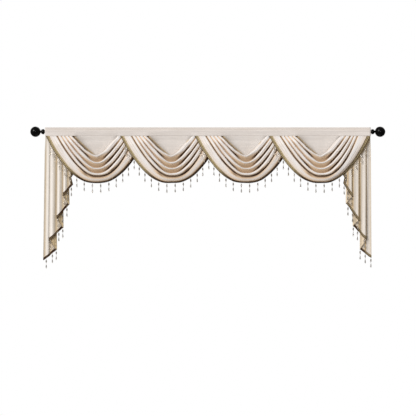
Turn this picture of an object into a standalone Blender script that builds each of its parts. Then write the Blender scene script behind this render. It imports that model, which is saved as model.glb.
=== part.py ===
"""A swag and tail valance on its pole: a rod pocket heading, a flat back panel, four overlapping
swags pleated into fans, two cascade tails, gimp braid with bead strands along the hems, and a
pole with ball finials. Metres, +Z up. The origin is on the pole's axis at the middle of its
length, +X runs along the pole and the front faces -Y. "Forward" is a distance towards -Y."""

import math
from collections import namedtuple

import bpy
import numpy as np

# Pole and finials
ROD_RADIUS = 0.0127
ROD_HALF_LENGTH = 1.2622
COLLAR_FACE = 1.2570
SOCKET_RADIUS = 0.0130
SOCKET_DEPTH = 0.0055
COLLAR_LENGTH = 0.0275
COLLAR_RADIUS = 0.0205
NECK_RADIUS = 0.0075
BALL_RADIUS = 0.0385
BALL_CENTRE = 0.0665
BALL_ARCS = 10
SEAT_GAP = 0.0003
ROD_SIDES = 24
COLLAR_SIDES = 16
BALL_SIDES = 18
# The collar's outer face from its narrow end to its wide one, in heights from the rod's end.
Ring = namedtuple("Ring", "radius height")
COLLAR_OUTSIDE = (
    Ring(NECK_RADIUS, COLLAR_LENGTH - SEAT_GAP),
    Ring(0.0087, 0.0225),
    Ring(0.0125, 0.0150),
    Ring(0.0180, 0.0080),
    Ring(COLLAR_RADIUS, 0.0050),
    Ring(COLLAR_RADIUS, 0.0),
)

# Heading and back panel
HEADING_HALF_WIDTH = 1.250
HEADING_TOP = 0.0335
SEAM_Z = -0.033
TUCK = 0.006
CLOTH = 0.0015
POCKET_RADIUS = 0.0146
POCKET_ANGLES = (-18.0, 20.0, 56.0)
SHOULDER_FORWARD = 0.0120
SHOULDER_Z = 0.0125
HEADER_STITCH = 0.0190
HEADER_HALF = 0.0015
HEADER_LEAN = 0.0070
WALL_TURN_Z = -0.0225
WALL_TURN_SHARE = 0.85
BACK_TURN_SHARE = 0.65
PANEL_HALF_WIDTH = 1.246
PANEL_BOTTOM = -0.195
PANEL_FORWARD = -0.0030
PANEL_WAVE = 0.0008
PANEL_WAVE_LENGTH = 0.19
PANEL_COLUMNS = 31

# Swags. Each row is one line that runs from fan to fan, from the top edge down to the hem: how
# far from the swag's middle it meets the seam, how far it drops below the seam in the middle,
# the power of its curve on each side, how round it is at the bottom, and how far its cloth
# stands forward in the middle.
FoldLine = namedtuple("FoldLine", "name left right drop left_power right_power round out")
FOLD_LINES = (
    FoldLine("top", 0.187, 0.156, 0.151, 0.90, 0.94, 0.22, 0.012),
    FoldLine("fold_1", 0.220, 0.198, 0.192, 1.02, 1.20, 0.18, 0.015),
    FoldLine("fold_2", 0.250, 0.237, 0.238, 1.31, 1.46, 0.12, 0.019),
    FoldLine("fold_3", 0.276, 0.263, 0.280, 1.42, 1.68, 0.12, 0.024),
    FoldLine("fold_4", 0.308, 0.290, 0.315, 1.50, 1.98, 0.12, 0.029),
    FoldLine("hem", 0.390, 0.386, 0.358, 1.89, 1.85, 0.12, 0.022),
)
# Where each swag hangs and how far its ends stand forward: at the seam, then once they have
# opened. A left end laps over the swag or tail beside it. A right end under the next swag is
# pressed, so its rolls open over a longer share of the way to the middle.
Swag = namedtuple(
    "Swag", "middle left_seam left_full right_seam right_full right_opening right_hangs"
)
SWAGS = (
    Swag(-0.8490, 0.0118, 0.032, 0.0002, 0.002, 0.44, 0.71),
    Swag(-0.2780, 0.0082, 0.032, 0.0002, 0.002, 0.44, 0.71),
    Swag(0.2930, 0.0082, 0.032, 0.0002, 0.002, 0.44, 0.71),
    Swag(0.8640, 0.0082, 0.032, 0.0118, 0.032, 0.22, 0.97),
)
# Where the grid lines stand from a swag's middle out to its ends.
STATIONS = (0.065, 0.20, 0.33, 0.45, 0.56, 0.67, 0.78, 0.875, 0.945, 1.0)
LEFT_OPENING = 0.22
LIFT_OPENING = 0.12
CROSSING = 0.75
BELLY_POWER = 1.5
MIDDLE_HALF = 0.08
MIDDLE_SLOPE = 0.50
ROLL_HEIGHT = 0.025
HEM_BAND_HEIGHT = 0.012
SEAM_ROLL_HEIGHT = 0.0050

# The cross-section of each roll between two fold lines, in the middle of a swag and out on its
# sloping sides. "step" is the share of the way from the upper line to the lower one, and
# "proud" the share of the roll's height that the cloth stands forward.
Section = namedtuple("Section", "middle_step middle_proud side_step side_proud")
TOP_ROLL = (
    Section(0.16, -0.25, 0.12, -0.30),
    Section(0.02, 0.25, 0.02, 0.25),
    Section(0.08, 0.90, 0.20, 0.95),
    Section(0.40, 0.80, 0.62, 0.95),
    Section(0.80, 0.32, 0.93, 0.45),
)
MIDDLE_ROLL = (
    Section(0.14, 0.00, 0.00, 0.00),
    Section(0.15, 0.66, 0.08, 0.70),
    Section(0.35, 1.00, 0.42, 1.00),
    Section(0.76, 0.46, 0.84, 0.82),
)
LOWEST_ROLL = (
    Section(0.12, 0.00, 0.00, 0.00),
    Section(0.16, 0.50, 0.08, 0.70),
    Section(0.48, 1.00, 0.44, 1.00),
    Section(0.96, 0.86, 0.86, 0.80),
)
HEM_BAND = (
    Section(0.00, 0.00, 0.00, 0.00),
    Section(0.16, 0.75, 0.10, 0.90),
    Section(0.50, 1.00, 0.34, 0.72),
    Section(0.80, 0.65, 0.60, 0.82),
    Section(0.97, -0.10, 0.78, 0.62),
)
BRAID_BAND = (
    Section(0.995, -0.24, 0.786, 0.61),
    Section(1.01, -0.90, 0.89, 0.58),
    Section(0.97, -1.60, 1.00, 0.50),
)
BANDS = (TOP_ROLL, MIDDLE_ROLL, MIDDLE_ROLL, LOWEST_ROLL, HEM_BAND)

# Tails. Each row is a corner where the cloth turns, from the outer edge inwards: its place along
# the pole at the seam and at the hem, and the height of the hem there.
Corner = namedtuple("Corner", "seam_x hem_x hem_z")
LEFT_TAIL = (
    Corner(-1.2480, -1.2611, -0.978),
    Corner(-1.1640, -1.1589, -0.907),
    Corner(-1.2100, -1.2173, -0.833),
    Corner(-1.1120, -1.1090, -0.728),
    Corner(-1.1540, -1.1589, -0.666),
    Corner(-1.0700, -1.0637, -0.549),
    Corner(-1.1060, -1.1090, -0.491),
    Corner(-1.0380, -1.0345, -0.391),
)
RIGHT_TAIL = (
    Corner(1.2480, 1.2534, -0.956),
    Corner(1.1690, 1.1674, -0.900),
    Corner(1.2110, 1.2119, -0.826),
    Corner(1.1150, 1.1113, -0.724),
    Corner(1.1550, 1.1581, -0.682),
    Corner(1.0640, 1.0575, -0.552),
    Corner(1.1080, 1.1075, -0.498),
    Corner(1.0440, 1.0300, -0.372),
)
TAIL_CLOTH = 0.0012
TAIL_BACK = -0.0019
TAIL_SEAM_PITCH = 0.0018
TAIL_HEM_PITCH = 0.0105
TAIL_LENGTH = 0.945
TAIL_WAVE = 0.0035
TAIL_WAVE_LENGTH = 0.046
# How the cloth runs through one layer: the share of the way across, and how far it is from the
# layer's own depth, as a share of the depth from layer to layer.
Turn = namedtuple("Turn", "across depth")
TAIL_TURNS = (
    Turn(0.010, -0.28),
    Turn(0.080, -0.03),
    Turn(0.500, 0.00),
    Turn(0.920, 0.03),
    Turn(0.990, 0.28),
)
TURN_LEVEL = 0.08
TAIL_ROWS = (0.0, 0.16, 0.40, 0.70, 1.0)
TAIL_BRAID = 0.018
TAIL_BRAID_THICKNESS = 0.0020
TAIL_EDGE_GAP = 0.0010

# Braid and bead strands
BRAID_THICKNESS = 0.0030
BRAID_PROUD = 0.0008
STRAND_SPACING = 0.0634
STRAND_SHIFT = -0.0040
STRAND_SIDES = 3
STRAND_ROOT = 0.005
LEFT_HANGS = 0.97
BEAD_CLEARANCE = 0.0020
BEAD_REACH = 0.010
BEAD_ROOM = 0.003
Bead = namedtuple("Bead", "below radius")
STRAND = (
    Bead(0.000, 0.0011),
    Bead(0.013, 0.0011),
    Bead(0.023, 0.0052),
    Bead(0.036, 0.0011),
    Bead(0.055, 0.0011),
    Bead(0.067, 0.0046),
    Bead(0.080, 0.0008),
)
# Where strands hang on the tails: the strip of cloth, counted from the outer edge, and the share
# of the way along its hem.
Place = namedtuple("Place", "strip along")
LEFT_TAIL_STRANDS = (
    Place(0, 0.21), Place(0, 0.66), Place(0, 0.95),
    Place(2, 0.10), Place(2, 0.68), Place(2, 0.95),
    Place(4, 0.12), Place(4, 0.45), Place(4, 0.80),
    Place(6, 0.12), Place(6, 0.48), Place(6, 0.84),
)
RIGHT_TAIL_STRANDS = (
    Place(0, 0.05), Place(0, 0.52), Place(0, 0.97),
    Place(2, 0.18), Place(2, 0.66), Place(2, 0.96),
    Place(4, 0.10), Place(4, 0.50), Place(4, 0.84),
    Place(6, 0.12), Place(6, 0.50), Place(6, 0.86),
)

# Where the heading's front wall closes on what hangs from the seam: half the width of a gap
# between fans, and the wall's forward place over the gap, over fans and over the tails.
GAP_LEFT = 0.172
GAP_RIGHT = 0.140
WALL_SLOPE = 0.040
WALL_AT_GAP = 0.0040
WALL_AT_FANS = 0.0146
WALL_AT_TAILS = 0.0186
BACK_WALL = -0.0060
TAIL_ZONE = 1.030
LEAST_COLUMN = 0.012

CREAM = (0.86, 0.81, 0.72)
GREIGE = (0.72, 0.68, 0.62)
OLD_GOLD = (0.42, 0.33, 0.18)
BLACK = (0.012, 0.012, 0.013)


def clear_scene():
    for leftover in list(bpy.data.objects):
        bpy.data.objects.remove(leftover, do_unlink=True)


def make_collection(name):
    collection = bpy.data.collections.new(name)
    bpy.context.scene.collection.children.link(collection)
    return collection


def make_material(name, colour, roughness, metallic=0.0):
    material = bpy.data.materials.new(name)
    material.use_nodes = True
    shader = material.node_tree.nodes["Principled BSDF"]
    shader.inputs["Base Color"].default_value = (*colour, 1.0)
    shader.inputs["Roughness"].default_value = roughness
    shader.inputs["Metallic"].default_value = metallic
    return material


def smooth(value):
    """0 below 0, 1 above 1, and an easy curve between."""
    value = min(max(value, 0.0), 1.0)
    return value * value * (3.0 - 2.0 * value)


def mix(start, end, share):
    return start + (end - start) * share


def add_mesh(name, points, faces, collection, material):
    mesh = bpy.data.meshes.new(name)
    mesh.from_pydata([tuple(point) for point in points], [], faces)
    mesh.materials.append(material)
    mesh.shade_smooth()
    made = bpy.data.objects.new(name, mesh)
    collection.objects.link(made)
    return made


def grid_faces(rows, columns):
    """Quads over a grid of rows that run downwards and columns that run to +X, facing -Y."""
    return [
        (row * columns + column, (row + 1) * columns + column,
         (row + 1) * columns + column + 1, row * columns + column + 1)
        for row in range(rows - 1)
        for column in range(columns - 1)
    ]


def add_cloth(name, grid, thickness, proud, collection, material):
    """A sheet over a grid of points. Its front stands "proud" of them, and the rest is behind."""
    rows, columns = grid.shape[:2]
    sheet = add_mesh(name, grid.reshape(-1, 3), grid_faces(rows, columns), collection, material)
    shell = sheet.modifiers.new("thickness", "SOLIDIFY")
    shell.thickness = thickness
    shell.offset = 2.0 * proud / thickness - 1.0
    return sheet


# ---------------------------------------------------------------- pole

def add_turned(name, profile, steps, collection, material):
    """Turns a profile of (radius, height) pairs, top to bottom on its outer side, about Z."""
    mesh = bpy.data.meshes.new(name)
    points = [(radius, 0.0, height) for radius, height in profile]
    mesh.from_pydata(points, [(at, at + 1) for at in range(len(points) - 1)], [])
    mesh.materials.append(material)
    turned = bpy.data.objects.new(name, mesh)
    collection.objects.link(turned)
    screw = turned.modifiers.new("turn", "SCREW")
    screw.axis = "Z"
    screw.steps = steps
    screw.render_steps = steps
    screw.use_merge_vertices = True
    screw.merge_threshold = 0.00001
    screw.use_smooth_shade = True
    return turned


def collar_profile():
    socket = [(SOCKET_RADIUS, 0.0), (SOCKET_RADIUS, SOCKET_DEPTH), (0.0, SOCKET_DEPTH)]
    return [(0.0, COLLAR_OUTSIDE[0].height)] + list(COLLAR_OUTSIDE) + socket


def ball_profile():
    neck_angle = math.asin(NECK_RADIUS / BALL_RADIUS)
    profile = []
    for arc in range(BALL_ARCS + 1):
        angle = (math.pi - neck_angle) * arc / BALL_ARCS
        profile.append((BALL_RADIUS * math.sin(angle), BALL_CENTRE + BALL_RADIUS * math.cos(angle)))
    return profile + [(NECK_RADIUS, COLLAR_LENGTH), (0.0, COLLAR_LENGTH)]


def add_pole(collection):
    black = make_material("gloss_black_metal", BLACK, 0.18, 0.0)
    bpy.ops.mesh.primitive_cylinder_add(
        vertices=ROD_SIDES, radius=ROD_RADIUS, depth=2.0 * ROD_HALF_LENGTH,
        rotation=(0.0, math.pi / 2.0, 0.0),
    )
    rod = bpy.context.object
    rod.name = "rod"
    rod.data.name = "rod"
    rod.data.materials.append(black)
    for linked in list(rod.users_collection):
        linked.objects.unlink(rod)
    collection.objects.link(rod)
    for side, name in ((-1.0, "left"), (1.0, "right")):
        collar = add_turned("collar_" + name, collar_profile(), COLLAR_SIDES, collection, black)
        ball = add_turned("finial_" + name, ball_profile(), BALL_SIDES, collection, black)
        for piece in (collar, ball):
            piece.location = (side * COLLAR_FACE, 0.0, 0.0)
            piece.rotation_euler = (0.0, side * math.pi / 2.0, 0.0)


# ---------------------------------------------------------------- heading and back panel

def wall_forward(x):
    """How far forward the heading's front wall stands at the seam."""
    forward = WALL_AT_FANS
    for swag in SWAGS:
        inside = min(x - (swag.middle - GAP_LEFT), swag.middle + GAP_RIGHT - x)
        forward = min(forward, mix(WALL_AT_FANS, WALL_AT_GAP, smooth(inside / WALL_SLOPE)))
    return mix(forward, WALL_AT_TAILS, smooth((abs(x) - TAIL_ZONE + WALL_SLOPE) / WALL_SLOPE))


def heading_columns():
    columns = {-HEADING_HALF_WIDTH, HEADING_HALF_WIDTH, -TAIL_ZONE, TAIL_ZONE}
    columns |= {-TAIL_ZONE + WALL_SLOPE, TAIL_ZONE - WALL_SLOPE}
    for swag in SWAGS:
        left = swag.middle - GAP_LEFT
        right = swag.middle + GAP_RIGHT
        columns |= {left, left + WALL_SLOPE, right - WALL_SLOPE, right}
    ordered = sorted(columns)
    return [
        x for at, x in enumerate(ordered) if at == 0 or x - ordered[at - 1] > LEAST_COLUMN
    ]


def heading_section(x):
    """The strip's middle line as (forward, height), from its back edge over the rod to its front."""
    front = wall_forward(x)
    pocket = [
        (POCKET_RADIUS * math.cos(math.radians(angle)), POCKET_RADIUS * math.sin(math.radians(angle)))
        for angle in POCKET_ANGLES
    ]
    widest = pocket[0][0]
    back = [(BACK_WALL, SEAM_Z), (mix(-widest, BACK_WALL, BACK_TURN_SHARE), WALL_TURN_Z)]
    back += [(-forward, height) for forward, height in pocket]
    header = [
        (HEADER_LEAN - HEADER_HALF, HEADER_STITCH),
        (HEADER_LEAN, HEADING_TOP - 0.5 * CLOTH),
        (HEADER_LEAN + HEADER_HALF, HEADER_STITCH),
    ]
    wall = [(SHOULDER_FORWARD, SHOULDER_Z), pocket[1], pocket[0]]
    wall += [(mix(widest, front, WALL_TURN_SHARE), WALL_TURN_Z), (front, SEAM_Z)]
    return back + header + wall


def add_heading(collection):
    greige = make_material("greige_cloth", GREIGE, 0.75)
    columns = heading_columns()
    sections = [heading_section(x)[::-1] for x in columns]
    grid = np.array([
        [(x, -section[row][0], section[row][1]) for x, section in zip(columns, sections)]
        for row in range(len(sections[0]))
    ])
    return add_cloth("heading", grid, CLOTH, 0.5 * CLOTH, collection, greige)


def add_back_panel(collection):
    greige = make_material("greige_panel", GREIGE, 0.78)
    rows = []
    for height, swing in ((SEAM_Z + TUCK, 0.0), (PANEL_BOTTOM, 1.0)):
        row = []
        for column in range(PANEL_COLUMNS):
            x = mix(-PANEL_HALF_WIDTH, PANEL_HALF_WIDTH, column / (PANEL_COLUMNS - 1))
            wave = swing * PANEL_WAVE * (math.sin(2.0 * math.pi * x / PANEL_WAVE_LENGTH) - 1.0)
            row.append((x, -(PANEL_FORWARD + wave), height))
        rows.append(row)
    return add_cloth("back_panel", np.array(rows), CLOTH, 0.0, collection, greige)


# ---------------------------------------------------------------- swags

def rise(across, rounding):
    """0 in the middle of a swag and 1 at its ends, rounded at the bottom."""
    rounded = math.hypot(across, rounding) - rounding
    return rounded / (math.hypot(1.0, rounding) - rounding)


def line_place(line, across):
    """Where a fold line passes at "across", -1 at the left end and 1 at the right: (x, z)."""
    left = across < 0.0
    power = line.left_power if left else line.right_power
    reach = line.left if left else line.right
    return np.array([
        reach * across,
        -line.drop * (1.0 - rise(abs(across), line.round) ** power),
    ])


def middle_share(across):
    """1 in the middle of a swag, where the rolls sag open, and 0 on its sloping sides."""
    return 1.0 - smooth((abs(across) - MIDDLE_HALF) / MIDDLE_SLOPE)


def opened(across, opening):
    """0 at the seam, where the pleats are pressed flat, and 1 once they have opened."""
    return smooth((1.0 - abs(across)) / opening)


def swag_forward(swag, across):
    """How far forward the back of a swag's pleats is."""
    lifted = opened(across, LIFT_OPENING)
    left = mix(swag.left_seam, swag.left_full, lifted)
    right = mix(swag.right_seam, swag.right_full, lifted)
    return mix(left, right, smooth((across + CROSSING) / (2.0 * CROSSING)))


def swag_point(swag, band, section, across):
    """A point of a swag, in the frame of its middle and the seam."""
    upper = FOLD_LINES[band]
    lower = FOLD_LINES[band + 1]
    share = middle_share(across)
    step = mix(section.side_step, section.middle_step, share)
    proud = mix(section.side_proud, section.middle_proud, share)
    full = HEM_BAND_HEIGHT if band == len(FOLD_LINES) - 2 else ROLL_HEIGHT
    opening = LEFT_OPENING if across < 0.0 else swag.right_opening
    height = mix(SEAM_ROLL_HEIGHT, full, opened(across, opening))
    belly = max(1.0 - across * across, 0.0) ** BELLY_POWER
    out = mix(upper.out, lower.out, step) * belly
    x, z = mix(line_place(upper, across), line_place(lower, across), step)
    forward = swag_forward(swag, across) + out + proud * height
    return (x, -forward, z)


def swag_stations():
    return [-station for station in reversed(STATIONS)] + list(STATIONS)


def with_tucks(row):
    """Adds the ends that are tucked up into the seam."""
    first = (row[0][0], row[0][1], row[0][2] + TUCK)
    last = (row[-1][0], row[-1][1], row[-1][2] + TUCK)
    return [first] + row + [last]


def swag_grid(swag):
    rows = []
    for band, table in enumerate(BANDS):
        for section in table:
            row = [swag_point(swag, band, section, across) for across in swag_stations()]
            rows.append(with_tucks(row))
    return np.array(rows)


def braid_grid(swag):
    band = len(BANDS) - 1
    return np.array([
        with_tucks([swag_point(swag, band, section, across) for across in swag_stations()])
        for section in BRAID_BAND
    ])


# ---------------------------------------------------------------- tails

def tail_pitch(z):
    """The depth from one layer of a tail to the next, at a height."""
    down = max(SEAM_Z - z, 0.0) / TAIL_LENGTH
    return mix(TAIL_SEAM_PITCH, TAIL_HEM_PITCH, down)


def tail_column(corners, strip, turn):
    """One vertical line of a tail, as a function of the share of the way down to the hem."""
    start = corners[strip]
    end = corners[strip + 1]
    seam_x = mix(start.seam_x, end.seam_x, turn.across)
    hem_x = mix(start.hem_x, end.hem_x, turn.across)
    sloped = (turn.across - TURN_LEVEL) / (1.0 - 2.0 * TURN_LEVEL)
    hem_z = mix(start.hem_z, end.hem_z, min(max(sloped, 0.0), 1.0))

    def point(z):
        down = (SEAM_Z - z) / (SEAM_Z - hem_z)
        x = mix(seam_x, hem_x, down)
        wave = TAIL_WAVE * max(SEAM_Z - z, 0.0) / TAIL_LENGTH
        ripple = wave * math.sin(2.0 * math.pi * x / TAIL_WAVE_LENGTH)
        forward = TAIL_BACK + tail_pitch(z) * (strip + turn.depth) + ripple
        return (x, -forward, z)

    return hem_z, point


def tail_columns(corners):
    last = len(corners) - 2
    columns = []
    for strip in range(last + 1):
        turns = list(TAIL_TURNS)
        if strip == 0:
            turns[0] = Turn(0.0, 0.0)
        if strip == last:
            turns[-1] = Turn(1.0, 0.0)
        columns += [tail_column(corners, strip, turn) for turn in turns]
    if corners[0].seam_x > 0.0:
        columns.reverse()
    return columns


def tail_grid(corners):
    columns = tail_columns(corners)
    rows = [[point(SEAM_Z + TUCK) for hem_z, point in columns]]
    for share in TAIL_ROWS:
        rows.append([
            point(mix(SEAM_Z, hem_z + TAIL_BRAID + TAIL_EDGE_GAP, share))
            for hem_z, point in columns
        ])
    return np.array(rows)


def tail_braid_grid(corners):
    columns = tail_columns(corners)
    return np.array([
        [point(hem_z + TAIL_BRAID * share) for hem_z, point in columns]
        for share in (1.0, 0.0)
    ])


# ---------------------------------------------------------------- bead strands

def fine_points(grid):
    """Points spread over a grid's quads, four by four."""
    shares = (0.125, 0.375, 0.625, 0.875)
    found = []
    for down in shares:
        for across in shares:
            top = mix(grid[:-1, :-1], grid[:-1, 1:], across)
            bottom = mix(grid[1:, :-1], grid[1:, 1:], across)
            found.append(mix(top, bottom, down).reshape(-1, 3))
    return np.concatenate(found)


def front_over(under, x, z, radius):
    """How far forward a bead has to hang to lie on the cloth behind it, or None over no cloth."""
    near = (np.abs(under[:, 0] - x) < radius + BEAD_ROOM) & (np.abs(under[:, 2] - z) < BEAD_REACH)
    if not near.any():
        return None
    return float(np.max(-under[near, 1])) + radius + BEAD_CLEARANCE


def strand_rings(root, under):
    """The rings of one strand that hangs from a point of the braid, over the cloth behind it."""
    x, y, z = root
    rings = []
    for bead in STRAND:
        height = z - bead.below
        forward = -y
        if under is not None and bead.below > 0.0:
            rest = front_over(under, x, height, bead.radius)
            forward = forward if rest is None else max(forward, rest)
        ring = []
        for side in range(STRAND_SIDES):
            angle = 2.0 * math.pi * side / STRAND_SIDES - 0.5 * math.pi
            ring.append((x + bead.radius * math.cos(angle),
                         -forward + bead.radius * math.sin(angle), height))
        rings.append(ring)
    return rings


def add_strands(name, roots, collection, material):
    """All the strands of one braid, each a closed rod of beads. Each root is (point, cloth behind)."""
    points = []
    faces = []
    for root, under in roots:
        base = len(points)
        rings = strand_rings(root, under)
        for ring in rings:
            points += ring
        for ring in range(len(rings) - 1):
            for side in range(STRAND_SIDES):
                after = (side + 1) % STRAND_SIDES
                upper = base + ring * STRAND_SIDES
                lower = upper + STRAND_SIDES
                faces.append((upper + side, lower + side, lower + after, upper + after))
        faces.append(tuple(base + side for side in range(STRAND_SIDES)))
        last = base + (len(rings) - 1) * STRAND_SIDES
        faces.append(tuple(last + side for side in reversed(range(STRAND_SIDES))))
    strands = add_mesh(name, points, faces, collection, material)
    strands.hide_render = True
    strands.display_type = "WIRE"
    return strands


def fuse(braid, strands):
    union = braid.modifiers.new("strands", "BOOLEAN")
    union.operation = "UNION"
    union.object = strands


def along_row(row, place):
    """A point of a row of grid points, at a whole or part count of steps along it."""
    step = min(int(place), len(row) - 2)
    return mix(row[step], row[step + 1], place - step)


def swag_strand_roots(swag, braid, left_under, right_under):
    """Evenly spaced places along a swag's hem, by the length of the hem in front view."""
    fine = np.linspace(-1.0, 1.0, 801)
    hem = np.array([line_place(FOLD_LINES[-1], across) for across in fine])
    lengths = np.concatenate([[0.0], np.cumsum(np.linalg.norm(np.diff(hem, axis=0), axis=1))])
    lengths -= np.interp(0.0, fine, lengths)
    roots = []
    for count in range(-12, 12):
        along = (count + 0.5) * STRAND_SPACING + STRAND_SHIFT
        if not lengths[0] < along < lengths[-1]:
            continue
        across = float(np.interp(along, lengths, fine))
        if not -LEFT_HANGS < across < swag.right_hangs:
            continue
        place = 1.0 + float(np.interp(across, swag_stations(), range(2 * len(STATIONS))))
        low = along_row(braid[-1], place)
        high = along_row(braid[-2], place)
        share = STRAND_ROOT / np.linalg.norm(high - low)
        roots.append((mix(low, high, share), left_under if across < 0.0 else right_under))
    return roots


def tail_strand_roots(corners, braid, places, under):
    shares = [turn.across for turn in TAIL_TURNS]
    steps = len(shares)
    roots = []
    for place in places:
        # Counted in grid columns, which the turns of each strip space out.
        step = place.strip * steps + float(np.interp(place.along, shares, range(steps)))
        if corners[0].seam_x > 0.0:
            step = len(braid[0]) - 1 - step
        low = along_row(braid[-1], step)
        high = along_row(braid[0], step)
        roots.append((mix(low, high, STRAND_ROOT / TAIL_BRAID), under))
    return roots


# ---------------------------------------------------------------- the whole valance

def main():
    clear_scene()
    parts = make_collection("swag_and_tail_valance")
    cutters = make_collection("bead_strands")
    cream = make_material("cream_cloth", CREAM, 0.45)
    gold = make_material("old_gold_braid", OLD_GOLD, 0.6)

    add_pole(parts)
    add_heading(parts)
    add_back_panel(parts)

    tails = {"left": tail_grid(LEFT_TAIL), "right": tail_grid(RIGHT_TAIL)}
    for side, grid in tails.items():
        add_cloth("tail_" + side, grid, TAIL_CLOTH, 0.5 * TAIL_CLOTH, parts, cream)

    places = [np.array([swag.middle, 0.0, SEAM_Z]) for swag in SWAGS]
    cloths = [swag_grid(swag) + place for swag, place in zip(SWAGS, places)]
    for at, swag in enumerate(SWAGS):
        number = at + 1
        add_cloth(f"swag_{number}", cloths[at], CLOTH, 0.0, parts, cream)
        grid = braid_grid(swag) + places[at]
        braid = add_cloth(f"swag_trim_{number}", grid, BRAID_THICKNESS, BRAID_PROUD, parts, gold)
        left_under = fine_points(tails["left"] if at == 0 else cloths[at - 1])
        right_under = fine_points(tails["right"]) if number == len(SWAGS) else None
        roots = swag_strand_roots(swag, grid, left_under, right_under)
        fuse(braid, add_strands(f"strands_{number}", roots, cutters, gold))

    for side, corners, hangs in (
        ("left", LEFT_TAIL, LEFT_TAIL_STRANDS),
        ("right", RIGHT_TAIL, RIGHT_TAIL_STRANDS),
    ):
        grid = tail_braid_grid(corners)
        braid = add_cloth(
            "tail_trim_" + side, grid, TAIL_BRAID_THICKNESS, 0.5 * TAIL_BRAID_THICKNESS, parts, gold
        )
        roots = tail_strand_roots(corners, grid, hangs, fine_points(tails[side]))
        fuse(braid, add_strands("strands_" + side, roots, cutters, gold))


main()
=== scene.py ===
"""The swag and tail valance dressed for looks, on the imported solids. Metres, in the frame of the
solids: the origin is on the pole's axis at mid-length, +X runs along the pole, the front faces -Y
and +Z is up. "Forward" is a distance towards -Y."""

import math
from collections import namedtuple

import bpy
import numpy as np
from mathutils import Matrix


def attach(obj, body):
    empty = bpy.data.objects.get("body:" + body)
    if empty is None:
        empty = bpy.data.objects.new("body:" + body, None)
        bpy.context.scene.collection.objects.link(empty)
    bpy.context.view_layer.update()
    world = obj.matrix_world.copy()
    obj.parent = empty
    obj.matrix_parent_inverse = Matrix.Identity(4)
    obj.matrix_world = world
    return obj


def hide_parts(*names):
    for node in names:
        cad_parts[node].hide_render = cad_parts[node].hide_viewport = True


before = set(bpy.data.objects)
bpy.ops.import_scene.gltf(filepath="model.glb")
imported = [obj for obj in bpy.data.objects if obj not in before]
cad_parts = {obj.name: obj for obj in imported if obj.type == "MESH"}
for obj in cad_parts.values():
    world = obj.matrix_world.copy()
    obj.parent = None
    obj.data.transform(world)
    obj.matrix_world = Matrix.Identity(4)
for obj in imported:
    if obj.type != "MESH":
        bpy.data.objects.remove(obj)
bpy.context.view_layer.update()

BODY = "root"


def table(kind, *rows):
    return tuple(kind(*row) for row in rows)


# ---- measures of the solids

ROD_RADIUS = 0.0127
ROD_HALF_LENGTH = 1.2622
COLLAR_FACE = 1.257
COLLAR_LENGTH = 0.0275
NECK_RADIUS = 0.0075
BALL_RADIUS = 0.04
BALL_CENTRE = 0.0662

# The heading is one thin sheet folded over the rod. Its pocket is round at these angles, from
# below the rod's middle up, and the cloths below are sewn in the seam and tucked into it.
HEADING_HALF_WIDTH = 1.25
HEADING_TOP = 0.0335
SEAM_Z = -0.033
TUCK = 0.006
CLOTH = 0.0011
POCKET_RADIUS = 0.0146
POCKET_ANGLES = (-18.0, 0.0, 20.0, 38.0, 56.0)
HEADER_STITCH = 0.019
PANEL_HALF_WIDTH = 1.246
PANEL_BOTTOM = -0.195
PANEL_FORWARD = -0.003

# The lines at the foot of each roll of a swag, from the top edge to the hem: how far each reaches
# left and right of the swag's middle, how far it drops, how it curves, how round its bottom is and
# how far its middle hangs forward.
FoldLine = namedtuple("FoldLine", "left right drop left_power right_power round out")
FOLD_LINES = (
    FoldLine(0.187, 0.156, 0.151, 0.90, 0.76, 0.40, 0.012),
    FoldLine(0.220, 0.198, 0.192, 1.02, 1.16, 0.26, 0.015),
    FoldLine(0.250, 0.237, 0.238, 1.31, 1.46, 0.12, 0.019),
    FoldLine(0.276, 0.263, 0.280, 1.42, 1.68, 0.12, 0.024),
    FoldLine(0.308, 0.290, 0.315, 1.50, 1.98, 0.12, 0.029),
    FoldLine(0.390, 0.386, 0.358, 1.89, 1.85, 0.12, 0.022),
)
# Each swag: its middle, how far forward its fans stand in the seam and just below it, how wide its
# right pleats are closed, where its right bead strands end, and how far it reaches to the right.
Swag = namedtuple(
    "Swag", "middle left_seam left_full right_seam right_full right_opening right_hangs right_reach"
)
SWAGS = (
    Swag(-0.8490, 0.0118, 0.032, 0.0002, 0.002, 0.44, 0.71, 1.0),
    Swag(-0.2780, 0.0082, 0.032, 0.0002, 0.002, 0.44, 0.71, 1.0),
    Swag(0.2930, 0.0082, 0.032, 0.0002, 0.002, 0.44, 0.71, 1.0),
    Swag(0.8640, 0.0082, 0.032, 0.0118, 0.024, 0.22, 0.97, 0.985),
)
# Shares of a swag's half width: the reach of its closed left pleats and of its lift off the seam
# from each end, and of the change from its left side's depth to its right side's from its middle.
LEFT_OPENING = 0.22
LIFT_OPENING = 0.12
CROSSING = 0.75
# The part of a right fan that no other swag laps over: how far forward it stands, and where it ends.
BARE_FAN = 0.008
BARE_REACH = 0.196
BARE_SLOPE = 0.03
# How round a swag's belly is, and how far its rolls stand out: in full, at the hem, in the seam.
BELLY_POWER = 1.5
# The middle of a swag, where its rolls hang rounder. Pairs like this one are where a change starts
# and how far it takes.
MIDDLE = (0.08, 0.50)
ROLL_HEIGHT = 0.025
HEM_BAND_HEIGHT = 0.012
SEAM_ROLL_HEIGHT = 0.005

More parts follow.
